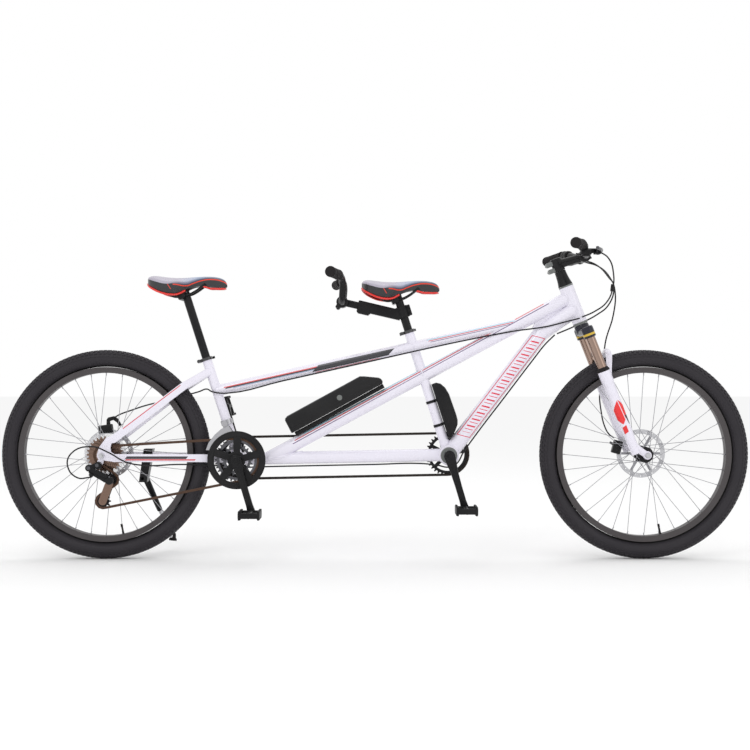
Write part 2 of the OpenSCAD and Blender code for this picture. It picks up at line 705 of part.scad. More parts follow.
module jockey(p) color("black") difference() {
    slab(drive_y - 1.1, drive_y + 1.1) translate(p) teeth_outline(jockey_teeth, 3 + run);
}
module guide_wheel() jockey(guide_at);
module tension_wheel() jockey(tension_at);

// ---- brakes
caliper_gap = 3;
module caliper_body() difference() {
    union() {
        translate([-24, -9.5, -14]) cube([48, 27.5, 30]);
        translate([-14, 18, -8]) cube([30, 8, 34]);
    }
    translate([-40, -caliper_gap / 2, -40]) cube([80, caliper_gap, 48]);
}
module rear_brake_caliper() color("black") translate(at(rear_hub_at, rotor_y)) rotate([0, -8, 0])
    translate([0, 0, rotor_r]) {
        caliper_body();
        // the arm that the cable pulls, with its return hook
        slab(19, 25) polygon([[-2, 8], [2, 32], [8, 38], [28, 40], [40, 30], [49, 8], [42, 3], [34, 18],
            [24, 27], [13, 25], [12, 8]]);
    }
module front_brake_caliper() color("black") difference() {
    translate(at(front_hub_at, rotor_y)) rotate([0, -75, 0]) translate([0, 0, rotor_r]) caliper_body();
    steer() translate([leg_fwd, leg_y, leg_top - leg_length])
        cylinder(h = leg_length, r1 = leg_foot_r + 0.2, r2 = leg_r + 0.2);
    steer() translate([0, front_end_y + 14.2, 0]) rotate([90, 0, 0]) linear_extrude(14.4) offset(0.2)
        foot_outline();
}

// ---- fork
module fork_crown() color("black") steer() difference() {
    union() {
        translate([0, 0, crown_low + 22]) cylinder(h = crown_top - crown_low - 22, r = 24);
        translate([-20, -leg_y, crown_low + 14]) cube([40, 2 * leg_y, 22]);
        for (side = [-1, 1]) translate([leg_fwd, side * leg_y, crown_low]) cylinder(h = 38, r = leg_r);
        translate([0, 0, crown_low + 22]) cylinder(h = head_length - crown_low + 68, r = steerer_r);
    }
    for (side = [-1, 1]) translate([leg_fwd, side * leg_y, crown_low - 1]) cylinder(h = 31, r = stanchion_r);
}
leg_length = leg_top + fork_length - 18;
module fork_stanchions() color("tan") steer() for (side = [-1, 1]) translate([leg_fwd, side * leg_y, 0])
    difference() {
        translate([0, 0, leg_top - 140]) cylinder(h = crown_low + 30 - leg_top + 140, r = stanchion_r);
        translate([0, 0, leg_top - 141]) cylinder(h = crown_low + 20 - leg_top + 140, r = stanchion_r - 2);
    }
arch_top = leg_top + 58;
arch_fwd = 54;
// Side view of a leg's foot, which reaches forward to hold the axle
module foot_outline() {
    translate([fork_offset, -fork_length]) circle(13);
    polygon([[leg_fwd - 12, -fork_length + 16], [fork_offset - 6, -fork_length - 11.5],
        [fork_offset + 12.5, -fork_length + 3], [leg_fwd + 13, -fork_length + 50],
        [leg_fwd - 12, -fork_length + 50]]);
}
// Front view of the arch over the tyre
arch_half = [[leg_y + 9, leg_top - 32], [leg_y + 9, leg_top - 6], [36, arch_top + 9]];
arch_inner = [[27, arch_top - 9], [leg_y - 12, leg_top - 16], [leg_y - 12, leg_top - 32]];
module arch_outline() polygon(concat(arch_half, [for (i = [2 : -1 : 0]) [-arch_half[i][0], arch_half[i][1]]],
    [for (i = [2 : -1 : 0]) [-arch_inner[i][0], arch_inner[i][1]]], arch_inner));
module fork_lowers() {
    color("white") steer() difference() {
        union() {
            for (side = [-1, 1]) {
                translate([leg_fwd, side * leg_y, leg_top - leg_length])
                    cylinder(h = leg_length, r1 = leg_foot_r, r2 = leg_r);
                translate([0, side * (front_end_y + 7) + 7, 0]) rotate([90, 0, 0]) linear_extrude(14)
                    foot_outline();
                translate([leg_fwd + 4, side * (leg_y - 1.5) - 9.5, leg_top - 31])
                    cube([arch_fwd - leg_fwd, 19, 24]);
            }
            translate([arch_fwd - 9, 0, 0]) rotate([90, 0, 90]) linear_extrude(18) arch_outline();
        }
        for (side = [-1, 1]) translate([leg_fwd, side * leg_y, leg_top - 240]) cylinder(
            h = 241, r = stanchion_r + run);
    }
    color("silver") across(front_hub_at, -front_end_y - 20, front_end_y + 20, axle_r);
    for (side = [-1, 1]) color("black")
        across(front_hub_at, side * (front_end_y + 18) - 4, side * (front_end_y + 18) + 4, 9);
}

// ---- front cockpit
module captain_stem() color("black") {
    steer() {
        difference() {
            union() {
                translate([0, 0, head_length + 5.5]) cylinder(h = 50, r1 = head_r, r2 = 18);
                translate([0, 0, head_length + 56]) cylinder(h = 44, r = 19);
                translate([-30, -11, head_length + 58]) cube([20, 22, 38]);
            }
            cylinder(h = head_length + 92, r = steerer_r + run);
        }
    }
    difference() {
        rod(at(head_low + (head_length + 78) * head_up + 18 * head_fwd, 0),
            at(bar_clamp_at - 12 * head_fwd, 0), 14);
        across(bar_clamp_at, -60, 60, 20);
    }
    difference() {
        across(bar_clamp_at, -22, 22, 20);
        across(bar_clamp_at, -30, 30, bar_r + run);
    }
}
// Route of the front bar's left half, from the clamp to the tip
captain_bar = [[0, 0, 0], [0, 24, 0], [0, 46, 0], [-6, 90, 5], [-24, 140, 16], [-38, 190, 20], [-76, captain_bar_half, 12]];
function placed(route, p) = [for (q = route) q + at(p, 0)];
function both_sides(route) = concat([for (i = [len(route) - 1 : -1 : 1])
    [route[i][0], -route[i][1], route[i][2]]], route);
module grip(e) color("dimgray") rod(e[0] + 6 * unit(e[1] - e[0]), e[1] + 5 * unit(e[1] - e[0]), grip_r);
module captain_handlebar() {
    path = placed(both_sides(captain_bar), bar_clamp_at);
    n = len(path);
    color("black") sweep(smooth(path, 5), bar_r, 16, [0, 0, 1]);
    for (e = [[path[1], path[0]], [path[n - 2], path[n - 1]]]) grip(e);
}
// Lever bracket and gear unit on each side, inboard of the grips
lever_pivot = [16, 168, 0];
control_bar = [[-20.9, 132, 15.4], [-37.6, 190, 21.4]];     // middle of the bar through a control
module control_body() difference() {
    union() {
        translate([-34, 146, -6]) cube([44, 32, 34]);
        translate([4, 148, -8]) cube([24, 34, 16]);
        rod([-23.8, 142, 16.4], [-35.3, 182, 20.6], bar_r + 5);
    }
    rod(control_bar[0], control_bar[1], bar_r + 1.1);
    translate([lever_pivot[0], lever_pivot[1], -40]) cylinder(h = 80, r = 2.5 + run);
    translate([6.5, 156, -4]) cube([40, 40, 8]);
}
module captain_controls() color("black") for (side = [1, -1]) translate(at(bar_clamp_at, 0)) mirror(
    [0, side < 0 ? 1 : 0, 0]) control_body();
module brake_blade() {
    translate([lever_pivot[0], lever_pivot[1], -7]) cylinder(h = 14, r = 2.5);
    translate([0, 0, -3]) linear_extrude(6) difference() {
        polygon([[9, 161], [19, 160], [26, 172], [20, 215], [2, 285], [-10, 284], [4, 214], [10, 188], [10, 176]]);
        translate([lever_pivot[0], lever_pivot[1]]) circle(2.5);
    }
}
module brake_lever_left() color("gray") translate(at(bar_clamp_at, 0)) brake_blade();
module brake_lever_right() color("gray") translate(at(bar_clamp_at, 0)) mirror([0, 1, 0]) brake_blade();

// ---- cables
cable_r = 2.4;
// From each control forward and down past the head tube, and on to the front brake
module steering_cables() color("black") {
    sweep(smooth([[707, -144, 990], [742, -112, 972], [768, -60, 930], [772, -28, 880], [752, -29, 836],
        [712, -33, 806], [672, -34, 788]], 3), cable_r, 8, [0, 1, 0.2]);
    sweep(smooth([[707, 144, 990], [744, 110, 970], [772, 52, 926], [780, -8, 880], [764, 6, 828],
        [730, 29, 798], [692, 33, 777], [650, 33, 757], [600, 31, 736]], 3), cable_r, 8, [0, 1, 0.2]);
    sweep(smooth([[709, 144.5, 983], [750, 114, 966], [780, 62, 924], [790, 24, 874], [788, 42, 800],
        [768, 80, 706], [764, 94, 600], [752, 93, 540], [755, 84, 480], [764, 70, 430], [778, 58, 402],
        [792, 50, 392]], 3), cable_r, 8, [0, 1, 0.2]);
}
module frame_cables() color("black") {
    // rear brake: right side of the top tubes, behind the rear seat tube, inside the left seat stay
    sweep(smooth([[664, -34, 784], [620, -32, 773], [560, -29, 758], [448, -25, 742], [330, -24, 720],
        [150, -26, 682], [0, -24, 648], [-300, -24, 581], [-480, -24, 541], [-528, -21, 545],
        [-550, 0, 554], [-580, 26, 545], [-620, 36, 534], [-680, 38, 516], [-744, 40, 503],
        [-810, 44, 482], [-848, 50, 468], [-864, 56, 459]], 2), cable_r, 8, [0, 1, 0.2]);
    // gears: down tube, front crank housing, boom tube, right chain stay, loop to the rear derailleur
    sweep(smooth([[592, 29, 732], [558, 16, 700], [520, -6, 655], [420, -8, 524], [330, -8, 406],
        [290, -8, 350], [264, -6, 308], [240, -6, 299], [205, -6, 305], [150, -6, 311], [0, -6, 308],
        [-200, -6, 304], [-380, -6, 300], [-450, -10, 298], [-500, -25, 304], [-556, -41, 309],
        [-640, -50, 311], [-740, -66, 309], [-800, -84, 322], [-850, -96, 352], [-905, -104, 372],
        [-968, -104, 350], [-980, -102, 310], [-950, -96, 272], [-914, -84, 272]], 2), cable_r, 8, [0, 1, 0.2]);
}

// ---- battery and controller, in the frame of the diagonal tube: u along it, v above it
module on_diagonal() translate(at(diagonal_foot_at, 0)) rotate([0, -atan2(diagonal_dir[1], diagonal_dir[0]), 0])
    children();
battery_u = 108;
rail_h = 12;
module battery_rail() color("black") difference() {
    on_diagonal() translate([battery_u + 12, -25, diagonal_r - 8]) cube([battery_length - 24, 50, rail_h + 8]);
    diagonal_solid(diagonal_r);
}
battery_v = diagonal_r + rail_h + 0.3;
module battery() color("black") on_diagonal() translate([0, battery_w / 2, 0]) rotate([90, 0, 0])
    linear_extrude(battery_w) polygon([[battery_u, battery_v], [battery_u + 2, battery_v + battery_h - 4],
        [battery_u + 8, battery_v + battery_h], [battery_u + battery_length - 52, battery_v + battery_h],
        [battery_u + battery_length - 4, battery_v + battery_h - 34],
        [battery_u + battery_length, battery_v + 6], [battery_u + battery_length - 6, battery_v]]);
controller_w = 56;
module controller_box() {
    color("black") difference() {
        on_seat(captain_bb) translate([0, controller_w / 2, 0]) rotate([90, 0, 0]) linear_extrude(controller_w)
            polygon([[seat_tube_r + 2, 48], [24, 50], [60, 88], [64, 104], [61, 190], [50, 226], [36, 238],
                [seat_tube_r + 2, 236]]);
        down_solid(down_r + 0.5);
        diagonal_solid(diagonal_r + 0.5);
    }
    color("gray") on_seat(captain_bb) for (z = [98, 178]) translate([0, 0, z]) difference() {
        union() {
            cylinder(h = 9, r = seat_tube_r + 1.6);
            translate([0, -12, 0]) cube([seat_tube_r + 2, 24, 9]);
        }
        translate([0, 0, -1]) cylinder(h = 11, r = seat_tube_r + run);
    }
}

// ---- seats
saddle_side = [[0, 46], [3, 30], [58, 2], [88, 1], [128, 26], [176, 30], [189, 20], [250, 20], [254, 33],
    [240, 50], [212, 58], [150, 56], [87, 57], [9, 61], [1, 54]];
saddle_half = [[-2, 42], [12, 66], [40, 79], [62, 80], [90, 68], [120, 44], [150, 28], [190, 22], [235, 19],
    [256, 8]];
saddle_rail = [[182, 38], [136, 3.5], [81, -4.5], [60, 11], [52, 9], [78, -11.6], [140, -3.6], [190, 32]];
module saddle(p) translate(at(p, 0)) {
    k = saddle_length / 254;
    w = saddle_w / 160;
    color("black") intersection() {
        slab(-saddle_w, saddle_w) polygon([for (q = saddle_side) [q[0] * k, q[1]]]);
        linear_extrude(200, center = true) polygon(concat([for (q = saddle_half) [q[0] * k, q[1] * w]],
            [for (i = [len(saddle_half) - 1 : -1 : 0]) [saddle_half[i][0] * k, -saddle_half[i][1] * w]]));
    }
    for (side = [-22, 22]) color("gray") slab(side - 3.5, side + 3.5) polygon([for (q = saddle_rail)
        [q[0] * k, q[1]]]);
}
saddle_clamp = [109, -4];
module seatpost(bb, seat_length, top, saddle_at) color("black") difference() {
    union() {
        on_seat(bb) translate([0, 0, seat_length - post_in]) cylinder(h = top - seat_length + post_in, r = post_r);
        across(saddle_at + saddle_clamp, -17.5, 17.5, 14);
    }
    on_seat(bb) translate([0, 0, seat_length - post_in - 1])
        cylinder(h = top - seat_length + post_in - 20, r = post_r - 2);
}
module captain_seatpost() {
    seatpost(captain_bb, captain_seat_length, captain_post_top, captain_saddle_at);
    rail_clamps(captain_saddle_at);
}
module stoker_seatpost() {
    seatpost(stoker_bb, stoker_seat_length, stoker_post_top, stoker_saddle_at);
    rail_clamps(stoker_saddle_at);
}
module rail_clamps(p) color("black") {
    for (side = [-1, 1]) across(p + saddle_clamp, side * 29 - 3, side * 29 + 3, 12);
    across(p + saddle_clamp + [0, -11.5], -32, 32, 3);
}
module captain_saddle() saddle(captain_saddle_at);
module stoker_saddle() saddle(stoker_saddle_at);

// ---- rear rider's stem and bar
module on_stem() translate(at(stem_root, 0)) rotate([0, stem_slope - 180, 0]) children();
module stoker_stem() color("black") difference() {
    union() {
        on_seat(captain_bb) translate([0, 0, stem_post_at - 20]) cylinder(h = 40, r = post_r + 6);
        on_stem() translate([0, -15, -17]) cube([150, 30, 34]);
        on_stem() translate([112, -15, -25]) cube([38, 30, 50]);
    }
    on_seat(captain_bb) cylinder(h = 800, r = post_r + run);
    on_stem() translate([40, -10 - run, -11.5 - run]) cube([200, 20 + 2 * run, 23 + 2 * run]);
}
module stoker_stem_slider() color("black") {
    difference() {
        on_stem() translate([60, -10, -11.5]) cube([stem_length - 60, 20, 23]);
        across(stoker_clamp_at, -50, 50, 19);
    }
    difference() {
        across(stoker_clamp_at, -22, 22, 19);
        across(stoker_clamp_at, -30, 30, bar_r + run);
    }
}
stoker_bar = [[0, 0, 0], [0, 24, 0], [0, 42, 0], [2, 70, 16], [4, 92, 50], [0, 118, 72], [-8, 160, 76],
    [-28, stoker_bar_half, 76]];
module stoker_handlebar() {
    path = placed(both_sides(stoker_bar), stoker_clamp_at);
    n = len(path);
    color("black") sweep(smooth(path, 5), bar_r, 16, [1, 0, 0]);
    for (e = [[path[1], path[0]], [path[n - 2], path[n - 1]]]) grip(e);
}

// ---- quick-release levers of the seat clamps
clamp_pivot_y = 16;
module clamp_lever() translate([-seat_tube_r - 9, 0, 5]) {
    translate([0, clamp_pivot_y, -5]) cylinder(h = 10, r = 6);
    translate([0, 0, -4]) linear_extrude(8) polygon([[-5, 16], [4, 13.5], [18, 22.5], [40, 21.5], [47, 18.5],
        [50, 23], [42, 27], [14, 28], [-5, 22]]);
}
module captain_clamp_lever() color("black") on_seat(captain_bb) translate([0, 0, captain_seat_length - 10])
    clamp_lever();
module stoker_clamp_lever() color("black") on_seat(stoker_bb) translate([0, 0, stoker_seat_length - 10])
    clamp_lever();

// ---- kickstand
module kickstand_bracket() color("black") difference() {
    union() {
        slab(stay_y[1] + 2, stand_y - 1) polygon([stand_at + [-12, -12], stand_at + [14, -12],
            stand_at + [34, 98], stand_at + [4, 98]]);
    }
    hull() {
        oval(stay_mid, stay_y[1], $fn = 32);
        oval(stay_end, stay_y[2] - 4, $fn = 32);
    }
    across(stand_at, 0, 200, 5 + run);
}
stand_root = at(stand_at, stand_y + 12);
stand_end = at(stand_at, stand_y) + stand_foot;
module kickstand_leg() {
    color("black") {
        across(stand_at, stand_y - 16, stand_y + 9, 5);
        across(stand_at, stand_y, stand_y + 12, 13);
        cone(stand_root, stand_root + 0.55 * (stand_end - stand_root), 11, 9);
    }
    color("silver") rod(stand_root + 0.5 * (stand_end - stand_root), stand_end, 6.5);
    color("black") translate(stand_end + [0, 0, -6]) cylinder(h = 14, r = 14);
}

head_tube();
down_tube();
top_tubes();
diagonal_tubes();
boom_tube();
seat_tubes();
bottom_bracket_shells();
bearing_cups();
rear_stays();
dropouts();
front_derailleur();
rear_brake_caliper();
frame_cables();
controller_box();
battery_rail();
rear_axle();
timing_chain();
drive_chain();
kickstand_bracket();
rear_derailleur();
battery();
fork_crown();
fork_stanchions();
captain_stem();
captain_handlebar();
captain_controls();
steering_cables();
brake_lever_right();
brake_lever_left();
fork_lowers();
front_brake_caliper();
front_tyre();
front_rim();
front_spokes();
front_hub();
rear_tyre();
rear_rim();
rear_spokes();
rear_hub();
freewheel();
captain_crankset();
stoker_crankset();
stoker_chainrings();
captain_pedal_right();
captain_pedal_left();
stoker_pedal_right();
stoker_pedal_left();
derailleur_cage();
guide_wheel();
tension_wheel();
captain_seatpost();
captain_saddle();
stoker_stem();
stoker_stem_slider();
stoker_handlebar();
stoker_seatpost();
stoker_saddle();
captain_clamp_lever();
stoker_clamp_lever();
kickstand_leg();
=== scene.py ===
import bpy, json, math
from math import sin, cos, radians, pi
from mathutils import Vector, Matrix


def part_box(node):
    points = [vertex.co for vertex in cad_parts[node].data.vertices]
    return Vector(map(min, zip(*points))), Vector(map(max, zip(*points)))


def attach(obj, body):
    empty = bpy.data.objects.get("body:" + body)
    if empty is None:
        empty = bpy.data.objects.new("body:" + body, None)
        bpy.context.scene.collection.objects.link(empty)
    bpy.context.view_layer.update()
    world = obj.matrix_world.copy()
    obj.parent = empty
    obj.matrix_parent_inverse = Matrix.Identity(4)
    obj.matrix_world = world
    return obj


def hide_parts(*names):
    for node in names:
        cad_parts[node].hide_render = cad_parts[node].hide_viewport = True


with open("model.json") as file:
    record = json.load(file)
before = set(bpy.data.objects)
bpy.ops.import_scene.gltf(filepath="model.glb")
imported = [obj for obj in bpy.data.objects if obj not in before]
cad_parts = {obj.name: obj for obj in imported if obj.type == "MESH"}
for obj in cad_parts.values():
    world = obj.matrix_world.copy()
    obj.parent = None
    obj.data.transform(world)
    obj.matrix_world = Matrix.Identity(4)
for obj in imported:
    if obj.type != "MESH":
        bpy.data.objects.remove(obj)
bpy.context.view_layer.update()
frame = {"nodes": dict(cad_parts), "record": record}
MM = 0.001
joints = {j["name"]: j for j in frame["record"]["behaviour"]["joints"]}


def spot(name):
    return Vector(joints[name]["pos_m"])


front_axle, rear_axle = spot("front_wheel_spin"), spot("rear_wheel_spin")
front_crank, rear_crank = spot("captain_crank_spin"), spot("stoker_crank_spin")
head_foot = spot("steering")
up = Vector(joints["steering"]["axis"])
ahead = Vector((up.z, 0, -up.x))
seat_up = Vector(joints["captain_post_height"]["axis"])
seat_fwd = Vector((seat_up.z, 0, -seat_up.x))
beam_dir = Vector(joints["stoker_stem_reach"]["axis"])
tube_dir = Vector(joints["battery_removal"]["axis"])
guide, tension = spot("guide_wheel_spin"), spot("tension_wheel_spin")
bar_middle = spot("brake_lever_left_pull") - Vector((16, 168, 0)) * MM


def steer(x, y, z):
    return head_foot + (ahead * x + up * z) * MM + Vector((0, y * MM, 0))


def xz(p):
    return (p.x, p.z)


# ------------------------------------------------------------ modelling helpers
def clear():
    if bpy.context.object and bpy.context.object.mode != "OBJECT":
        bpy.ops.object.mode_set(mode="OBJECT")
    bpy.ops.object.select_all(action="DESELECT")


def pick(*pieces):
    clear()
    for o in pieces:
        o.select_set(True)
    bpy.context.view_layer.objects.active = pieces[0]
    return pieces[0]


def settle(o):
    """Places go into the mesh; the object stays at the origin."""
    pick(o)
    bpy.ops.object.transform_apply(location=True, rotation=True, scale=True)
    return o


def modify(o, kind, **settings):
    pick(o)
    m = o.modifiers.new(kind.lower(), kind)
    for key, value in settings.items():
        setattr(m, key, value)
    bpy.ops.object.modifier_apply(modifier=m.name)
    return o


def bevelled(o, width, segments=2, angle=32):
    modify(o, "BEVEL", width=width, segments=segments, limit_method="ANGLE", angle_limit=radians(angle))
    return shaded(o)


def shaded(o, angle=38):
    pick(o)
    bpy.ops.object.shade_smooth_by_angle(angle=radians(angle))
    return o


def outward(o):
    pick(o)
    bpy.ops.object.mode_set(mode="EDIT")
    bpy.ops.mesh.select_all(action="SELECT")
    bpy.ops.mesh.remove_doubles(threshold=1e-6)
    bpy.ops.mesh.normals_make_consistent(inside=False)
    bpy.ops.object.mode_set(mode="OBJECT")
    return o


def joined(name, pieces):
    pick(*pieces)
    if len(pieces) > 1:
        bpy.ops.object.join()
    o = bpy.context.object
    o.name = name
    return o


def aim(direction, start=(0, 0, 1)):
    return Vector(start).rotation_difference(Vector(direction)).to_euler()


def block(size, at, turn=(0, 0, 0), bevel=0.0012):
    clear()
    bpy.ops.mesh.primitive_cube_add(size=1, location=at, rotation=turn)
    o = bpy.context.object
    o.scale = size
    settle(o)
    return bevelled(o, bevel) if bevel else o


def turned(at, direction, profile, sides=40, bevel=0.0):
    """A round piece: a disc drawn out step by step. profile is (distance along, radius) in mm."""
    clear()
    z0, r0 = profile[0]
    bpy.ops.mesh.primitive_circle_add(vertices=sides, radius=max(r0, 0.05) * MM, fill_type="NGON",
                                      location=(0, 0, z0 * MM))
    o = bpy.context.object
    settle(o)
    bpy.ops.object.mode_set(mode="EDIT")
    bpy.ops.mesh.select_all(action="SELECT")
    z, r = z0, max(r0, 0.05)
    for z1, r1 in profile[1:]:
        r1 = max(r1, 0.05)
        bpy.ops.mesh.extrude_region_move(TRANSFORM_OT_translate={"value": (0, 0, (z1 - z) * MM)})
        bpy.ops.transform.resize(value=(r1 / r, r1 / r, 1), center_override=(0, 0, z1 * MM))
        z, r = z1, r1
    bpy.ops.mesh.select_all(action="DESELECT")
    bpy.ops.mesh.select_mode(type="EDGE")
    bpy.ops.mesh.select_non_manifold()
    if r0 > 0.06:
        bpy.ops.mesh.edge_face_add()
    bpy.ops.mesh.select_mode(type="VERT")
    bpy.ops.object.mode_set(mode="OBJECT")
    o.location = at
    o.rotation_euler = aim(direction)
    settle(o)
    outward(o)
    return bevelled(o, bevel) if bevel else shaded(o)


def ring(at, direction, major, minor, turns=64, sides=12, squash=1.0):
    clear()
    bpy.ops.mesh.primitive_torus_add(major_radius=major, minor_radius=minor, major_segments=turns,
                                     minor_segments=sides)
    o = bpy.context.object
    o.scale = (1, 1, squash)
    settle(o)
    o.location, o.rotation_euler = at, aim(direction)
    settle(o)
    return shaded(o, 60)


def plate(outlines, y0, y1, bevel=0.0006):
    """Outlines in the side view, (x, z) in metres, given a thickness across the bicycle."""
    data = bpy.data.curves.new("outline", "CURVE")
    data.dimensions, data.fill_mode = "2D", "BOTH"
    for points in outlines:
        line = data.splines.new("POLY")
        line.points.add(len(points) - 1)
        for p, (x, z) in zip(line.points, points):
            p.co = (x, z, 0, 1)
        line.use_cyclic_u = True
    data.extrude = abs(y1 - y0) / 2 - bevel
    data.bevel_depth, data.bevel_resolution, data.offset = bevel, 1, -bevel
    o = bpy.data.objects.new("plate", data)
    bpy.context.collection.objects.link(o)
    o.location = (0, (y0 + y1) / 2, 0)
    o.rotation_euler = (pi / 2, 0, 0)
    pick(o)
    bpy.ops.object.convert(target="MESH")
    o = settle(bpy.context.object)
    outward(o)
    return shaded(o)


def circle(at, r, n=32, start=0.0):
    return [(at[0] + r * cos(start + 2 * pi * i / n),
             at[1] + r * sin(start + 2 * pi * i / n)) for i in range(n)]


def capsule(a, b, r, n=10):
    a, b = Vector(a), Vector(b)
    t = math.atan2(b.y - a.y, b.x - a.x)
    return [(b.x + r * cos(t - pi / 2 + pi * i / n),
             b.y + r * sin(t - pi / 2 + pi * i / n)) for i in range(n + 1)] + [
        (a.x + r * cos(t + pi / 2 + pi * i / n),
         a.y + r * sin(t + pi / 2 + pi * i / n)) for i in range(n + 1)]


def pipe(points, r, sides=5, radii=None, closed=False, kind="BEZIER", steps=6):
    data = bpy.data.curves.new("pipe", "CURVE")
    data.dimensions, data.bevel_depth, data.bevel_resolution = "3D", r, sides
    data.resolution_u, data.use_fill_caps = steps, not closed
    line = data.splines.new(kind)
    if kind == "BEZIER":
        line.bezier_points.add(len(points) - 1)
        for i, (b, p) in enumerate(zip(line.bezier_points, points)):
            b.co = p
            b.handle_left_type = b.handle_right_type = "AUTO"
            b.radius = radii[i] if radii else 1.0
    else:
        line.points.add(len(points) - 1)
        for i, (b, p) in enumerate(zip(line.points, points)):
            b.co = (*p, 1)
            b.radius = radii[i] if radii else 1.0
    line.use_cyclic_u = closed
    o = bpy.data.objects.new("pipe", data)
    bpy.context.collection.objects.link(o)
    pick(o)
    bpy.ops.object.convert(target="MESH")
    return shaded(settle(bpy.context.object), 50)


def moved(o, matrix):
    twin = o.copy()
    twin.data = o.data.copy()
    bpy.context.collection.objects.link(twin)
    twin.data.transform(matrix)
    return twin


def mirrored(o):
    """The left-right twin, with its faces turned the right way again."""
    twin = moved(o, Matrix.Scale(-1, 4, (0, 1, 0)))
    return outward(twin)


def shell(rows):
    """A skin over rows of points: a grid whose points are moved to the rows."""
    clear()
    n, m = len(rows), len(rows[0])
    bpy.ops.mesh.primitive_grid_add(x_subdivisions=m - 1, y_subdivisions=n - 1, size=1)
    o = bpy.context.object
    settle(o)
    for i, v in enumerate(o.data.vertices):
        v.co = rows[i // m][i % m]
    o.data.update()
    return o


def placed(o, name, body, paint, stands_for=()):
    o.name = name
    o.data.name = name
    o.data.materials.clear()
    o.data.materials.append(paint)
    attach(o, body)
    if stands_for:
        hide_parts(*stands_for)
    return o


def finish_node(node, paint):
    o = frame["nodes"][node]
    if not o.material_slots:
        o.data.materials.append(paint)
    for s in o.material_slots:
        s.material = paint


# ------------------------------------------------------------ finishes
def group(name, sockets, build):
    tree = bpy.data.node_groups.new(name, "ShaderNodeTree")
    for label, way, kind, value in sockets:
        s = tree.interface.new_socket(name=label, in_out=way, socket_type=kind)
        if value is not None:
            s.default_value = value
    build(Graph(tree))
    return tree


class Graph:
    """Places nodes and joins them up."""

    def __init__(self, tree):
        self.tree = tree
        inside = tree.bl_idname == "ShaderNodeTree" and tree.interface.items_tree
        self.start = tree.nodes.new("NodeGroupInput") if inside else None

    def node(self, kind, inputs=(), **settings):
        n = self.tree.nodes.new(kind)
        for k, v in settings.items():
            setattr(n, k, v)
        for key, value in dict(inputs).items():
            self.feed(n.inputs[key], value)
        return n

    def feed(self, socket, value):
        if isinstance(value, bpy.types.NodeSocket):
            self.tree.links.new(value, socket)
        else:
            socket.default_value = value

    def math(self, op, a, b=0.0, c=None):
        n = self.tree.nodes.new("ShaderNodeMath")
        n.operation = op
        self.feed(n.inputs[0], a)
        self.feed(n.inputs[1], b)
        if c is not None:
            self.feed(n.inputs[2], c)
        return n.outputs[0]

    def mix(self, amount, a, b, how="MIX"):
        n = self.tree.nodes.new("ShaderNodeMix")
        n.data_type, n.blend_type = "RGBA", how
        self.feed(n.inputs[0], amount)
        self.feed(n.inputs[6], a)
        self.feed(n.inputs[7], b)
        return n.outputs[2]

    def place(self):
        return self.node("ShaderNodeTexCoord").outputs["Object"]

    def split(self, vector):
        n = self.node("ShaderNodeSeparateXYZ", {0: vector})
        return n.outputs[0], n.outputs[1], n.outputs[2]

    def group(self, tree, **inputs):
        n = self.tree.nodes.new("ShaderNodeGroup")
        n.node_tree = tree
        for k, v in inputs.items():
            self.feed(n.inputs[k.replace("_", " ")], v)
        return n


def build_grain(g):
    noise = g.node("ShaderNodeTexNoise", {"Vector": g.start.outputs["Place"],
                                          "Scale": g.start.outputs["Scale"],
                                          "Detail": 4.0, "Roughness": 0.6})
    bump = g.node("ShaderNodeBump", {"Strength": g.start.outputs["Strength"], "Distance": 0.0004,
                                     "Height": noise.outputs[0]})
    g.node("NodeGroupOutput", {"Normal": bump.outputs[0], "Value": noise.outputs[0]})


def build_worn(g):
    cloud = g.node("ShaderNodeTexNoise", {"Vector": g.start.outputs["Place"], "Scale": 9.0,
                                          "Detail": 5.0})
    fine = g.node("ShaderNodeTexNoise", {"Vector": g.start.outputs["Place"], "Scale": 160.0,
                                         "Detail": 2.0})
    both = g.math("ADD", g.math("MULTIPLY", cloud.outputs[0], 0.7),
                  g.math("MULTIPLY", fine.outputs[0], 0.3))
    spread = g.node("ShaderNodeMapRange", {0: both, 1: 0.35, 2: 0.65, 3: 0.0, 4: 1.0}).outputs[0]
    low = g.start.outputs["Roughness"]
    rough = g.math("ADD", low, g.math("MULTIPLY", g.math("SUBTRACT", spread, 0.5),
                                      g.start.outputs["Spread"]))
    tint = g.mix(g.math("MULTIPLY", spread, g.start.outputs["Amount"]), g.start.outputs["Color"],
                 g.start.outputs["Dust"])
    g.node("NodeGroupOutput", {"Color": tint, "Roughness": rough})


def build_band(g):
    s = g.start.outputs
    soft = 0.00025
    a = g.node("ShaderNodeMapRange", {0: s["Value"], 1: g.math("SUBTRACT", s["Low"], soft),
                                      2: g.math("ADD", s["Low"], soft), 3: 0.0, 4: 1.0}).outputs[0]
    b = g.node("ShaderNodeMapRange", {0: s["Value"], 1: g.math("SUBTRACT", s["High"], soft),
                                      2: g.math("ADD", s["High"], soft), 3: 1.0, 4: 0.0}).outputs[0]
    g.node("NodeGroupOutput", {"Mask": g.math("MULTIPLY", a, b)})


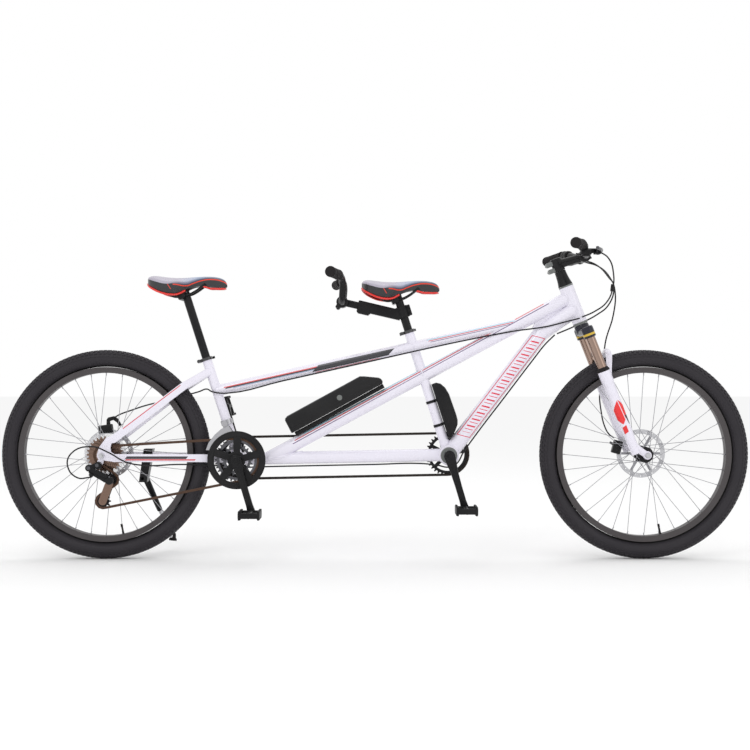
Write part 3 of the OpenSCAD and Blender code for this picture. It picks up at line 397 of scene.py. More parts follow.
GRAIN = group("fine_grain", [("Normal", "OUTPUT", "NodeSocketVector", None),
                             ("Value", "OUTPUT", "NodeSocketFloat", None),
                             ("Place", "INPUT", "NodeSocketVector", None),
                             ("Scale", "INPUT", "NodeSocketFloat", 800.0),
                             ("Strength", "INPUT", "NodeSocketFloat", 0.3)], build_grain)
WORN = group("handled_film", [("Color", "OUTPUT", "NodeSocketColor", None),
                              ("Roughness", "OUTPUT", "NodeSocketFloat", None),
                              ("Place", "INPUT", "NodeSocketVector", None),
                              ("Color", "INPUT", "NodeSocketColor", None),
                              ("Dust", "INPUT", "NodeSocketColor", (0.4, 0.38, 0.36, 1)),
                              ("Amount", "INPUT", "NodeSocketFloat", 0.1),
                              ("Roughness", "INPUT", "NodeSocketFloat", 0.4),
                              ("Spread", "INPUT", "NodeSocketFloat", 0.12)], build_worn)
BAND = group("painted_band", [("Mask", "OUTPUT", "NodeSocketFloat", None),
                              ("Value", "INPUT", "NodeSocketFloat", 0.0),
                              ("Low", "INPUT", "NodeSocketFloat", 0.0),
                              ("High", "INPUT", "NodeSocketFloat", 1.0)],
             build_band)


def rgb(r, g, b):
    return (r, g, b, 1.0)


def finish(name, color, rough=0.4, metallic=0.0, grain=600.0, bump=0.1, dust=0.03, spread=0.12,
           coat=0.0,
           specular=None, paint=None, dust_color=(0.3, 0.29, 0.28, 1)):
    """One material. paint(g, place, color) may return a pattern, or (colour, metallic)."""
    m = bpy.data.materials.new(name)
    m.use_nodes = True
    m.diffuse_color = color
    g = Graph(m.node_tree)
    shader = next(n for n in m.node_tree.nodes if n.type == "BSDF_PRINCIPLED")
    place = g.place()
    base, metal = color, metallic
    if paint:
        base = paint(g, place, color)
        if isinstance(base, tuple) and len(base) == 2:
            base, metal = base
    film = g.group(WORN, Place=place, Color=base, Dust=dust_color, Amount=dust, Roughness=rough,
                   Spread=spread)
    g.feed(shader.inputs["Base Color"], film.outputs["Color"])
    g.feed(shader.inputs["Roughness"], film.outputs["Roughness"])
    g.feed(shader.inputs["Metallic"], metal)
    if specular is None:                       # dark paints and plastics get little sheen
        specular = 0.16 if max(color[:3]) < 0.1 else 0.5
    shader.inputs["Specular IOR Level"].default_value = specular
    shader.inputs["Coat Weight"].default_value = coat
    shader.inputs["Coat Roughness"].default_value = 0.08
    bumps = g.group(GRAIN, Place=place, Scale=grain, Strength=bump)
    g.feed(shader.inputs["Normal"], bumps.outputs["Normal"])
    return m


WHITE = rgb(0.80, 0.775, 0.87)
INK = rgb(0.012, 0.012, 0.02)
RED = rgb(0.62, 0.02, 0.025)
BLUE = rgb(0.10, 0.24, 0.45)
PALE_BLUE = rgb(0.45, 0.68, 0.80)
PLUM = rgb(0.10, 0.04, 0.16)


def along(g, place, origin, direction):
    """Distances along a line in the side view and square to it, in metres."""
    x, _, z = g.split(place)
    dx, dz = g.math("SUBTRACT", x, origin[0]), g.math("SUBTRACT", z, origin[1])
    u = g.math("ADD", g.math("MULTIPLY", dx, direction[0]), g.math("MULTIPLY", dz, direction[1]))
    v = g.math("SUBTRACT", g.math("MULTIPLY", dz, direction[0]), g.math("MULTIPLY", dx, direction[1]))
    return u, v


def tube_paint(origin, direction, bands, lean=0.6):
    """Painted bands on a tube: (from, to, low, high, colour, taper), in mm from the origin."""
    def paint(g, place, color):
        u, v = along(g, place, origin, direction)
        out = color
        for b in bands:
            u0, u1, v0, v1, ink, taper = (list(b) + [0.0])[:6]
            slant = g.math("ADD", u, g.math("MULTIPLY", v, lean))
            inside = g.group(BAND, Value=slant, Low=u0 * MM, High=u1 * MM).outputs[0]
            share = g.math("DIVIDE", g.math("SUBTRACT", u, u0 * MM), (u1 - u0) * MM)
            v_low = g.math("ADD", g.math("MULTIPLY", share, taper * MM), v0 * MM)
            across = g.group(BAND, Value=v, Low=v_low, High=v1 * MM).outputs[0]
            out = g.mix(g.math("MULTIPLY", inside, across), out, ink)
        return out
    return paint


gloss_white = finish("gloss_white", WHITE, 0.26, coat=0.5, bump=0.02, dust=0.05)
black_paint = finish("black_paint", rgb(0.006, 0.006, 0.007), 0.30, bump=0.05, coat=0.05)
black_anodised = finish("black_anodised", rgb(0.005, 0.005, 0.006), 0.3, bump=0.06, grain=1400,
                        coat=0.10)
black_plastic = finish("black_plastic", rgb(0.008, 0.008, 0.009), 0.45, bump=0.25, grain=1600)
soft_rubber = finish("soft_rubber", rgb(0.012, 0.010, 0.011), 0.62, bump=0.3, grain=1200)
bare_steel = finish("bare_steel", rgb(0.55, 0.55, 0.57), 0.28, metallic=1.0, bump=0.1, grain=900,
                    dust=0.1)
dark_steel = finish("dark_steel", rgb(0.1, 0.1, 0.11), 0.34, metallic=0.9, bump=0.1, grain=900)
spoke_steel = finish("spoke_steel", rgb(0.36, 0.36, 0.38), 0.3, metallic=1.0, bump=0.05)
rim_black = finish("rim_black", rgb(0.060, 0.053, 0.055), 0.42, bump=0.08, grain=1200, specular=0.3)
cable_black = finish("cable_black", rgb(0.012, 0.012, 0.013), 0.42, bump=0.1, grain=1500)
bronze_gloss = finish("bronze_gloss", rgb(0.33, 0.235, 0.19), 0.14, metallic=1.0, bump=0.02)
bronze_steel = finish("bronze_steel", rgb(0.20, 0.13, 0.10), 0.30, metallic=0.95, bump=0.12, grain=900)
chain_steel = finish("chain_steel", rgb(0.085, 0.05, 0.035), 0.42, metallic=0.8, bump=0.12)
chain_black = finish("chain_black", rgb(0.022, 0.017, 0.014), 0.4, metallic=0.4, bump=0.1)
red_plastic = finish("red_plastic", rgb(0.75, 0.02, 0.012), 0.3, bump=0.05, coat=0.3)
# mid grey; on the stem's pinch clamp this grey is a painted highlight on glossy black
grey_metal_and_sheen = finish("grey_metal_and_sheen", rgb(0.17, 0.18, 0.175), 0.42, metallic=0.3, bump=0.1, grain=1200)


# ------------------------------------------------------------ wheels
def tyre_paint(hub):
    def paint(g, place, color):
        x, _, z = g.split(place)
        dx, dz = g.math("SUBTRACT", x, hub.x), g.math("SUBTRACT", z, hub.z)
        r = g.math("SQRT", g.math("ADD", g.math("MULTIPLY", dx, dx), g.math("MULTIPLY", dz, dz)))
        # painted light and shade: a dark ring where the tyre meets the rim is a painted shadow line,
        # and lighter rings are painted light on the sidewall ridges
        bead_shadow_ring = g.group(BAND, Value=r, Low=0.2875, High=0.2905).outputs[0]
        ridge = g.node("ShaderNodeTexWave",
                       {"Vector": g.node("ShaderNodeCombineXYZ", {0: r}).outputs[0],
                                             "Scale": 120.0}, wave_type="BANDS").outputs[1]
        ridge_light_and_shade = g.mix(g.math("MULTIPLY", ridge, 0.25), color, rgb(0.06, 0.06, 0.062))
        return g.mix(bead_shadow_ring, ridge_light_and_shade, rgb(0.02, 0.02, 0.02))
    return paint


TREAD_ROWS = 136                           # rows of blocks round each tyre
MOULD_LINE_R = 0.0007                      # thin raised lines on the sidewalls


def make_tyre(hub, name, body):
    clear()
    major, minor = 0.3125, 0.0265
    bpy.ops.mesh.primitive_torus_add(major_radius=major, minor_radius=minor, major_segments=144,
                                     minor_segments=28)
    case = bpy.context.object
    for v in case.data.vertices:
        r = math.hypot(v.co.x, v.co.y)
        if r < 0.302:                       # sidewalls draw in to the beads
            pull = min((0.302 - r) / 0.017, 1.0)
            v.co.z *= 1 - 0.42 * pull * pull
    shaded(case, 70)
    # one pitch of the tread: middle pair, mid pair and shoulder pair
    blocks = []
    for angle, long, wide, high, slip in ((6, 7.2, 6.2, 2.6, 0), (-6, 7.2, 6.2, 2.6, 7.6),
                                          (27, 7.6, 7.4, 2.6, 7.0),
                                          (-27, 7.6, 7.4, 2.6, 0.6), (50, 9.0, 6.0, 2.8, 1.0),
                                          (-50, 9.0, 6.0, 2.8, 8.6),
                                          (72, 5.0, 4.4, 1.8, 4.6), (-72, 5.0, 4.4, 1.8, 12.0)):
        a = radians(angle)
        rr = minor + high * MM / 2 - 0.0008
        clear()
        bpy.ops.mesh.primitive_cube_add(size=1, location=(0, 0, 0))
        b = bpy.context.object
        b.scale = (high * MM, long * MM, wide * MM)
        settle(b)
        bpy.ops.object.mode_set(mode="EDIT")
        bpy.ops.mesh.select_all(action="SELECT")
        bpy.ops.mesh.bevel(offset=0.0006, segments=1)
        bpy.ops.object.mode_set(mode="OBJECT")
        b.data.transform(Matrix.Rotation((slip / 0.341 * MM), 4, "Z") @ Matrix.Translation(
            (major + rr * cos(a), 0, rr * sin(a))) @ Matrix.Rotation(-a, 4, "Y"))
        blocks.append(b)
    pitch = joined("pitch", blocks)
    copies = [moved(pitch, Matrix.Rotation(2 * pi * i / TREAD_ROWS, 4, "Z")) for i in range(TREAD_ROWS)]
    bpy.data.objects.remove(pitch)
    lines = [ring((0, 0, side * y), (0, 0, 1), r, MOULD_LINE_R, 120, 6)
             for side in (-1, 1) for r, y in ((0.3185, 0.0259), (0.2955, 0.0187))]
    o = joined(name, [case] + copies + lines)
    o.data.transform(Matrix.Translation(hub) @ Matrix.Rotation(pi / 2, 4, "X"))
    rubber = finish(name + "_rubber", rgb(0.020, 0.017, 0.022), 0.5, bump=0.2, grain=900, dust=0.02,
                    specular=0.2,
                    paint=tyre_paint(hub))
    return placed(o, name + "_casing", body, rubber, (name,))


def make_wheel_trim(hub, name, body, flanges):
    nipples = []
    for side in (0, 1):
        for i in range(16):
            a = radians(i * 22.5 + side * 11.25)
            inward = Vector((-cos(a), 0, -sin(a)))
            y = 0.004 if flanges[side] > 0 else -0.004
            at = hub + Vector((cos(a) * 0.2665, y, sin(a) * 0.2665))
            nipples.append(turned(at, inward, [(0, 2.4), (1.2, 2.4), (1.4, 1.9), (9, 1.7), (10, 1.3)],
                                  8))
    placed(joined(name + "_nipples", nipples), name + "_nipples", body, spoke_steel)
    a = radians(-78)
    at = hub + Vector((cos(a) * 0.267, 0, sin(a) * 0.267))
    inward = Vector((-cos(a), 0, -sin(a)))
    valve = turned(at, inward, [(-3, 4), (2, 4), (2.4, 3.2), (24, 3.0), (24.4, 3.8), (33, 3.8),
                                (34, 2.6)], 16)
    placed(valve, name + "_valve", body, soft_rubber)


def hub_paint(hub, rotor_y):
    def paint(g, place, color):
        x, y, z = g.split(place)
        dx, dz = g.math("SUBTRACT", x, hub.x), g.math("SUBTRACT", z, hub.z)
        r = g.math("SQRT", g.math("ADD", g.math("MULTIPLY", dx, dx), g.math("MULTIPLY", dz, dz)))
        disc = g.math("MULTIPLY", g.group(BAND, Value=y, Low=rotor_y - 0.0015,
                                          High=rotor_y + 0.0015).outputs[0],
                      g.math("GREATER_THAN", r, 0.026))
        track = g.math("MULTIPLY", disc, g.math("GREATER_THAN", r, 0.064))
        out = g.mix(disc, color, rgb(0.30, 0.30, 0.32))
        return g.mix(track, out, rgb(0.55, 0.55, 0.57)), g.math("ADD", 0.3,
            g.math("MULTIPLY", disc, 0.7))
    return paint


for hub, side, flanges in ((front_axle, "front", (-30, 30)), (rear_axle, "rear", (-15, 32))):
    make_tyre(hub, side + "_tyre", side + "_wheel")
    make_wheel_trim(hub, side, side + "_wheel", flanges)
    finish_node(side + "_rim", rim_black)
    finish_node(side + "_spokes", spoke_steel)
    finish_node(side + "_hub", finish(side + "_hub_shell", rgb(0.015, 0.015, 0.017), 0.3, bump=0.08,
                                      grain=1500,
                                      paint=hub_paint(hub, 0.041)))
# clear plastic disc that keeps the chain off the spokes
guard = turned(rear_axle + Vector((0, -0.0203, 0)), (0, 1, 0),
               [(0, 20), (0, 69), (0.6, 70), (0.8, 69), (1.2, 20)], 64)
frost = finish("clear_plastic", rgb(0.75, 0.75, 0.77), 0.25, bump=0.03)
frost.node_tree.nodes["Principled BSDF"].inputs["Alpha"].default_value = 0.3
placed(guard, "spoke_protector", "rear_wheel", frost)


# ------------------------------------------------------------ chains
def pitch_r(teeth):
    return 0.0127 / (2 * sin(pi / teeth))


def chain_path(wheels):
    """The pitch line of a chain round wheels, as one list of points and its length."""
    def heading(i):
        (a, ra), (b, rb) = wheels[i], wheels[(i + 1) % len(wheels)]
        v = b - a
        return math.atan2(v.y, v.x) + math.asin((rb - ra) / v.length)
    out = []
    for i, (c, r) in enumerate(wheels):
        a0, a1 = heading(i - 1) + pi / 2, heading(i) + pi / 2
        turn = (a1 - a0) % (2 * pi)
        if r > 0 and turn > 1e-9:
            turn -= 2 * pi
        steps = max(int(abs(turn) * abs(r) / 0.002), 2)
        out += [c + abs(r) * (1 if r > 0 else -1) * Vector((cos(a0 + turn * k / steps),
                                                            sin(a0 + turn * k / steps)))
                for k in range(steps + 1)]
    return out


def resampled(points, step):
    out, need = [points[0]], step
    pts = points + [points[0]]
    for a, b in zip(pts, pts[1:]):
        length = (b - a).length
        done = 0.0
        while length - done >= need:
            done += need
            out.append(a + (b - a) * (done / length))
            need = step
        need -= length - done
    return out


def make_chain(name, wheels, y, node, paint):
    line = chain_path(wheels)
    total = sum((b - a).length for a, b in zip(line, line[1:] + line[:1]))
    count = round(total / 0.0127 / 2) * 2
    pins = resampled(line, total / count)[:count]
    # a side plate, waisted in the middle, as one outline
    half = 0.00635
    waist = [(-half + 0.0042 * cos(a), 0.0042 * sin(a)) for a in [radians(t) for t in (70, 110, 150,
        180, 210, 250, 290)]]
    other = [(-x, -z) for x, z in waist]
    side = plate([waist + other], -0.0005, 0.0005, 0.00015)
    roller = turned((-half, -0.0035, 0), (0, 1, 0), [(0, 1.8), (0.4, 2.2), (2.0, 2.2), (2.2, 3.6),
                                                     (4.8, 3.6), (5.0, 2.2),
                                                    (6.6, 2.2), (7.0, 1.8)], 8)
    inner = joined("inner", [moved(side, Matrix.Translation((0, s * 0.0019, 0))) for s in (-1,
        1)] + [moved(roller, Matrix())])
    outer = joined("outer", [moved(side, Matrix.Translation((0, s * 0.0029, 0))) for s in (-1,
        1)] + [moved(roller, Matrix())])
    links = []
    for i, (a, b) in enumerate(zip(pins, pins[1:] + pins[:1])):
        mid, d = (a + b) / 2, b - a
        m = Matrix.Translation((mid.x, y, mid.y)) @ Matrix.Rotation(-math.atan2(d.y, d.x), 4, "Y")
        links.append(moved(inner if i % 2 else outer, m))
    for o in (side, roller, inner, outer):
        bpy.data.objects.remove(o)
    placed(joined(name, links), name, "frame", paint, (node,))


def flat(p):
    return Vector((p.x, p.z))


make_chain("timing_links", [(flat(rear_crank), pitch_r(34)), (flat(front_crank), pitch_r(34))], 0.046,
           "timing_chain", chain_black)
make_chain("drive_links", [(flat(rear_axle), pitch_r(14)), (flat(rear_crank), pitch_r(34)),
                           (flat(tension), pitch_r(11)), (flat(guide), -pitch_r(11))], -0.052,
                           "drive_chain", chain_steel)
finish_node("freewheel", bronze_steel)
finish_node("guide_wheel", black_plastic)
finish_node("tension_wheel", black_plastic)
finish_node("derailleur_cage", bronze_steel)
finish_node("front_derailleur", finish("cage_steel", rgb(0.42, 0.42, 0.44), 0.25, metallic=1.0,
                                       bump=0.06))
finish_node("rear_axle", bare_steel)


# ------------------------------------------------------------ cranks and pedals
def pedal_end(bb, side):
    a = radians(-73.5)
    s = 1 if side < 0 else -1
    return bb + Vector((s * 0.175 * cos(a), 0, s * 0.175 * sin(a)))


def make_arm(bb, side, y0):
    """A forged arm: thick at the boss, waisted, with a raised rib and its pedal eye."""
    end = pedal_end(bb, side)
    a, b = flat(bb), flat(end)
    t = (b - a).normalized()
    n = Vector((-t.y, t.x))
    right = [(0.0, 0.0185), (0.022, 0.0165), (0.05, 0.0125), (0.1, 0.0108), (0.15, 0.0108)]
    line = [a + t * u + n * w for u, w in right]
    tip = [b + 0.0135 * (n * cos(q) + t * sin(q)) for q in [radians(k) for k in range(10, 171, 20)]]
    back = [a + t * u - n * w for u, w in reversed(right)]
    heel = [a + 0.0185 * (-n * cos(q) - t * sin(q)) for q in [radians(k) for k in range(15, 166, 15)]]
    ya, yb = side * y0, side * (y0 + 0.014)
    arm = plate([[tuple(p) for p in line + tip + back + heel]], min(ya, yb), max(ya, yb), 0.0022)
    out = side * (y0 + 0.0135)
    cap = turned(Vector((bb.x, out, bb.z)), (0, side, 0), [(0, 12), (1.6, 11.6), (2.2, 10), (1.2, 7.5),
                                                           (1.4, 6.5), (2.4, 6), (2.6, 3)], 32)
    eye = turned(Vector((end.x, out, end.z)), (0, side, 0), [(0, 8.6), (0.8, 8.2), (0.8, 6.2),
        (-0.6, 5.8), (-0.6, 2)], 28)
    rib = plate([capsule(tuple(a + t * 0.035), tuple(a + t * 0.15), 0.0042)],
                min(out, out + side * 0.0012) - 0.0004,
                max(out, out + side * 0.0012) + 0.0004, 0.0005)
    return [arm, cap, eye, rib]


def make_cranks(bb, y_right, name, body, node):
    bits = make_arm(bb, -1, y_right) + make_arm(bb, 1, 0.058)
    bits.append(turned(Vector((bb.x, -y_right - 0.004, bb.z)), (0, 1, 0),
                       [(0, 8.5), ((y_right + 0.062) * 1000, 8.5)], 24))
    # timing ring on the left, with five arms
    r = pitch_r(34)
    teeth = []
    for i in range(34):
        for k, h in ((-0.30, -0.0036), (-0.16, 0.002), (-0.08, 0.0034), (0.08, 0.0034), (0.16, 0.002),
                     (0.30, -0.0036)):
            q = 2 * pi * (i + k) / 34
            teeth.append((bb.x + (r + h) * cos(q), bb.z + (r + h) * sin(q)))
    bits.append(plate([teeth, circle(xz(bb), r - 0.013, 48)], 0.0451, 0.0469, 0.0002))
    for i in range(5):
        q = 2 * pi * i / 5 + 0.17
        d = Vector((cos(q), sin(q)))
        bits.append(plate([capsule(tuple(flat(bb) + d * 0.012), tuple(flat(bb) + d * (r - 0.010)),
                                   0.006)], 0.0462, 0.0522, 0.0012))
        bolt = flat(bb) + d * (r - 0.010)
        bits.append(turned((bolt.x, 0.0515, bolt.y), (0, 1, 0),
                           [(0, 4.4), (1.4, 4.2), (1.5, 2.4), (0.4, 2.2)], 14))
    bits.append(turned(Vector((bb.x, 0.0455, bb.z)), (0, 1, 0), [(0, 17), (12, 17), (13, 16)], 36))
    placed(joined(name, bits), name, body, black_paint, (node,))


make_cranks(front_crank, 0.062, "front_cranks", "captain_cranks", "captain_crankset")
make_cranks(rear_crank, 0.067, "rear_cranks", "stoker_cranks", "stoker_crankset")


def make_guard():
    c = flat(rear_crank)
    holes = []
    for i in range(5):
        mid = 2 * pi * i / 5 + radians(16 + 36)
        # each opening is a rounded wedge between two arms
        wedge = []
        for r0, spread in ((0.029, 0.24), (0.073, 0.46)):
            sweep = [mid + spread * k / 6 for k in range(-6, 7)]
            if r0 > 0.05:
                sweep.reverse()
            wedge += [(c.x + r0 * cos(q), c.y + r0 * sin(q)) for q in sweep]
        holes.append(wedge)
    face = plate([circle(tuple(c), 0.0938, 96)] + holes, -0.067, -0.0636, 0.0011)
    rim = ring(rear_crank + Vector((0, -0.0655, 0)), (0, 1, 0), 0.0905, 0.0022, 96, 8)
    inner = ring(rear_crank + Vector((0, -0.0665, 0)), (0, 1, 0), 0.0765, 0.0013, 96, 8)
    placed(joined("ring_guard", [face, rim, inner]), "ring_guard", "stoker_cranks", black_plastic)
    rings = []
    for n, y in ((24, -0.045), (34, -0.052), (42, -0.059)):
        r = pitch_r(n)
        teeth = []
        for i in range(n):
            for k, h in ((-0.30, -0.0036), (-0.16, 0.002), (-0.08, 0.0032), (0.08, 0.0032),
                         (0.16, 0.002), (0.30, -0.0036)):
                q = 2 * pi * (i + k) / n
                teeth.append((c.x + (r + h) * cos(q), c.y + (r + h) * sin(q)))
        rings.append(plate([teeth, circle(tuple(c), r - 0.012, 48)], y - 0.0009, y + 0.0009, 0.0002))
    for i in range(5):
        q = 2 * pi * i / 5 + radians(16)
        d = Vector((cos(q), sin(q)))
        rings.append(plate([capsule(tuple(c + d * 0.012), tuple(c + d * 0.074), 0.006)], -0.0635,
                           -0.0585, 0.001))
        for s in (0.040, 0.060):
            p = c + d * s
            rings.append(turned((p.x, -0.0635, p.y), (0, 1, 0),
                                [(0, 4.5), (19, 4.5)] if s < 0.05 else [(0, 4.5), (12, 4.5)], 14))
    rings.append(turned(rear_crank + Vector((0, -0.066, 0)), (0, 1, 0),
                        [(0, 19), (4, 19), (5, 16), (22, 16)], 36))
    placed(joined("chain_rings", rings), "chain_rings", "stoker_cranks", dark_steel,
           ("stoker_chainrings",))


make_guard()


def make_pedal(bb, side, y0, tilt, name, body, node):
    end = pedal_end(bb, side)
    y_in, wide = y0 + 0.018, 0.092
    parts = [turned((0, y0 + 0.001, 0), (0, 1, 0), [(0, 5.9), (6, 5.9), (6.2, 7.4), (13, 7.4),
                                                    (13.4, 6), (18, 6)], 16),
             turned((0, y_in, 0), (0, 1, 0), [(0, 9.4), (2, 10), (20, 8.4), (70, 8.4), (90, 9.6),
                                              (92, 9)], 20)]
    for s in (-1, 1):
        parts.append(block((0.0085, wide - 0.004, 0.020), (s * 0.0300, y_in + wide / 2, 0),
                           bevel=0.0022))
        for k in range(9):                                       # tread teeth on the cage
            for up_down in (-1, 1):
                parts.append(block((0.0075, 0.0048, 0.0045), (s * 0.0300, y_in + 0.006 + k * 0.010,
                    up_down * 0.0117), bevel=0.0009))
        for y in (0.004, wide - 0.006):
            parts.append(block((0.026, 0.009, 0.018), (s * 0.0165, y_in + y + 0.001, 0), bevel=0.002))
        parts.append(block((0.022, 0.005, 0.012), (s * 0.0165, y_in + wide * 0.36, 0), bevel=0.0012))
        parts.append(block((0.022, 0.005, 0.012), (s * 0.0165, y_in + wide * 0.64, 0), bevel=0.0012))
    o = joined(name, parts)
    m = Matrix.Rotation(-radians(tilt), 4, "Y")
    o.data.transform(m)
    if side < 0:
        o.data.transform(Matrix.Scale(-1, 4, (0, 1, 0)))
        outward(o)
    o.data.transform(Matrix.Translation((end.x, 0, end.z)))
    placed(o, name, body, black_plastic, (node,))


for who, bb, y_right in (("captain", front_crank, 0.062), ("stoker", rear_crank, 0.067)):
    make_pedal(bb, -1, y_right, 0, who + "_right_pedal", who + "_pedal_right", who + "_pedal_right")
    make_pedal(bb, 1, 0.058, 107.8, who + "_left_pedal", who + "_pedal_left", who + "_pedal_left")


# ------------------------------------------------------------ saddles
def make_saddle(node, body, name):
    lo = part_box(node)[0]
    base = Vector((lo[0], 0, lo[2] + 0.0116))
    # per station: distance from the rear, half width, crown, edge line, skirt foot, skirt width (mm)
    stations = [(1, 30, 50, 47, 33, 30), (4, 47, 56, 50, 28, 44), (12, 63, 60, 50, 21, 58),
                (26, 73, 60.5, 47, 13.5, 66),
                (42, 78, 58.5, 43, 6, 68), (60, 79, 56.5, 38, 0, 66), (80, 75, 55, 35.5, -2.6, 58),
                (98, 65, 54.6, 34.5, -1, 47),
                (114, 53, 55, 34.5, 7, 37), (130, 42, 56, 37, 17, 31), (148, 33, 57.4, 41.5, 23, 26),
                (168, 27, 58.8, 46.5, 26, 23), (188, 23.5, 59.2, 49, 25, 20.5),
                (208, 21.5, 58.4, 48.5, 22.5, 19),
                (226, 20, 56, 46, 21.5, 18), (240, 17.5, 52, 42, 21, 16),
                (250, 12.5, 44.5, 35, 21.5, 11.5), (254.5, 6, 34, 29, 24, 6)]
    rows = []
    for x, half, crown, edge, foot, skirt in stations:
        dip = 2.4 if 50 < x < 200 else 0.8                     # shallow channel down the middle
        ridge = []
        for k in range(5):                                     # top, from the edge to the middle
            f = k / 4.0
            y = half * (1 - f)
            h = edge + (crown - edge) * (1 - (1 - f) ** 2.2) - dip * max(0, f - 0.7) / 0.3
            ridge.append((y, h))
        side = [(skirt, foot), (skirt + (half - skirt) * 0.45, foot + (edge - foot) * 0.28),
                (skirt + (half - skirt) * 0.95 + 0.8, foot + (edge - foot) * 0.72)]
        halfrow = side + ridge
        row = [(-y, h) for y, h in halfrow] + [(y, h) for y, h in reversed(halfrow[:-1])]
        rows.append([base + Vector((x, y, h)) * MM for y, h in row])
    skin = shell(rows)
    modify(skin, "SUBSURF", levels=2, render_levels=2)
    pick(skin)
    bpy.ops.object.mode_set(mode="EDIT")
    bpy.ops.mesh.select_all(action="DESELECT")
    bpy.ops.mesh.select_mode(type="EDGE")
    bpy.ops.mesh.select_non_manifold()
    bpy.ops.mesh.edge_face_add()
    bpy.ops.mesh.select_mode(type="VERT")
    bpy.ops.object.mode_set(mode="OBJECT")
    outward(skin)
    shaded(skin, 60)

    def paint(g, place, color):
        x, _, z = g.split(place)
        u = g.math("SUBTRACT", x, base.x)
        h = g.math("SUBTRACT", z, base.z)
        # the seam height follows the saddle: a curve through given points
        ramp = g.node("ShaderNodeFloatCurve", {1: g.math("DIVIDE", u, 0.256)})
        curve = ramp.mapping.curves[0]
        seam = [(0.0, 0.74), (0.031, 0.71), (0.14, 0.57), (0.265, 0.47), (0.34, 0.50), (0.38, 0.50),
                (0.477, 0.45),
                (0.574, 0.575), (0.672, 0.72), (0.793, 0.80), (0.926, 0.73), (1.0, 0.44)]
        curve.points[0].location, curve.points[1].location = seam[0], seam[-1]
        for p in seam[1:-1]:
            curve.points.new(*p)
        ramp.mapping.update()
        line = g.math("MULTIPLY", ramp.outputs[0], 0.0635)
        over = g.math("SUBTRACT", h, line)
        top = g.node("ShaderNodeMapRange", {0: over, 1: -0.0004, 2: 0.0004}).outputs[0]
        # piping sits just under the seam from mid length forwards
        red = g.math("MULTIPLY", g.group(BAND, Value=over, Low=-0.0052, High=-0.0016).outputs[0],
                     g.math("GREATER_THAN", u, 0.088))
        slant = g.math("SUBTRACT", g.math("ADD", u, g.math("MULTIPLY", h, 0.62)), 0.0895)
        dart = g.math("MULTIPLY", g.group(BAND, Value=slant, Low=-0.0013, High=0.0013).outputs[0],
                      g.math("MULTIPLY", g.math("LESS_THAN", over, -0.001),
                             g.math("GREATER_THAN", h, 0.013)))
        lilac = g.mix(g.node("ShaderNodeMapRange", {0: u, 1: 0.10, 2: 0.20}).outputs[0],
                      rgb(0.42, 0.39, 0.47),
                      rgb(0.30, 0.42, 0.60))
        navy = g.node("ShaderNodeMapRange", {0: over, 1: 0.0, 2: 0.012}).outputs[0]
        front = g.node("ShaderNodeMapRange", {0: u, 1: 0.075, 2: 0.11}).outputs[0]
        shade = g.math("SUBTRACT", 1.0, g.math("MULTIPLY", front, g.math("SUBTRACT", 1.0, navy)))
        upper = g.mix(shade, rgb(0.03, 0.035, 0.09), lilac)
        out = g.mix(top, rgb(0.012, 0.013, 0.016), upper)
        out = g.mix(g.math("MAXIMUM", red, dart), out, rgb(0.75, 0.035, 0.01))
        return out
    cover = finish(name + "_leather", rgb(0.5, 0.48, 0.56), 0.34, bump=0.25, grain=420, coat=0.12,
                   dust=0.05, paint=paint)
    placed(skin, name, body, cover, (node,))
    # red edge trims under the rear and under the nose
    trims = []
    for s in (-1, 1):
        rear = [(2, 33, 31), (6, 47, 25.5), (14, 59, 19), (26, 66.5, 12), (42, 69, 4.5), (60, 67, -1),
                (80, 59, -3.6), (98, 48, -2), (110, 40, 3.5), (122, 34.5, 11)]
        trims.append(pipe([base + Vector((x, s * y, h)) * MM for x, y, h in rear], 0.0033, 4))
    foot = [(176, 21, 25.5), (188, 20, 22.5), (200, 19.4, 18.6), (216, 18.5, 18), (232, 16.5, 17.6),
            (246, 12, 17.8)]
    loop = [base + Vector((x, y, h)) * MM for x, y, h in foot] + [base + Vector((x, -y, h)) * MM for x,
        y, h in reversed(foot)]
    trims.append(pipe(loop, 0.0028, 3))
    back = [base + Vector((1.5, y, 31.5)) * MM for y in (-33, -16, 0, 16, 33)]
    trims.append(pipe(back, 0.0022, 3))
    placed(joined(name + "_edge", trims), name + "_edge", body, red_plastic)
    # under-shell and rails
    hard = []
    rail = [(186, 34), (172, 22), (152, 8), (136, 0), (109, -4), (84, -7), (70, -3), (58, 7)]
    for s in (-1, 1):
        hard.append(pipe([base + Vector((x, s * 22, h)) * MM for x, h in rail], 0.0035, 4))
    hard.append(block((0.016, 0.070, 0.010), base + Vector((60, 0, 11)) * MM, bevel=0.003))
    hard.append(block((0.014, 0.044, 0.010), base + Vector((186, 0, 31)) * MM, bevel=0.003))
    placed(joined(name + "_rails", hard), name + "_rails", body, black_paint)
    # the post's head: lower cradle, ears and bolt
    head = base + Vector((109, 0, -4)) * MM
    bits = [turned(head + Vector((0, -0.0285, 0)), (0, 1, 0), [(0, 9), (1, 12), (6, 12.6), (51, 12.6),
        (56, 12), (57, 9)], 36),
            turned(head + Vector((-0.004, -0.033, -0.010)), (0, 1, 0),
                   [(0, 4), (0.4, 6.4), (5, 6.4), (61, 6.4), (65.6, 6.4), (66, 4)], 6),
            block((0.034, 0.052, 0.008), head + Vector((0, 0, 0.010)), bevel=0.0025)]
    placed(joined(name + "_clamp", bits), name + "_clamp", body, black_anodised)


make_saddle("captain_saddle", "captain_post", "front_saddle")
make_saddle("stoker_saddle", "stoker_post", "rear_saddle")
finish_node("captain_seatpost", black_anodised)
finish_node("stoker_seatpost", black_anodised)


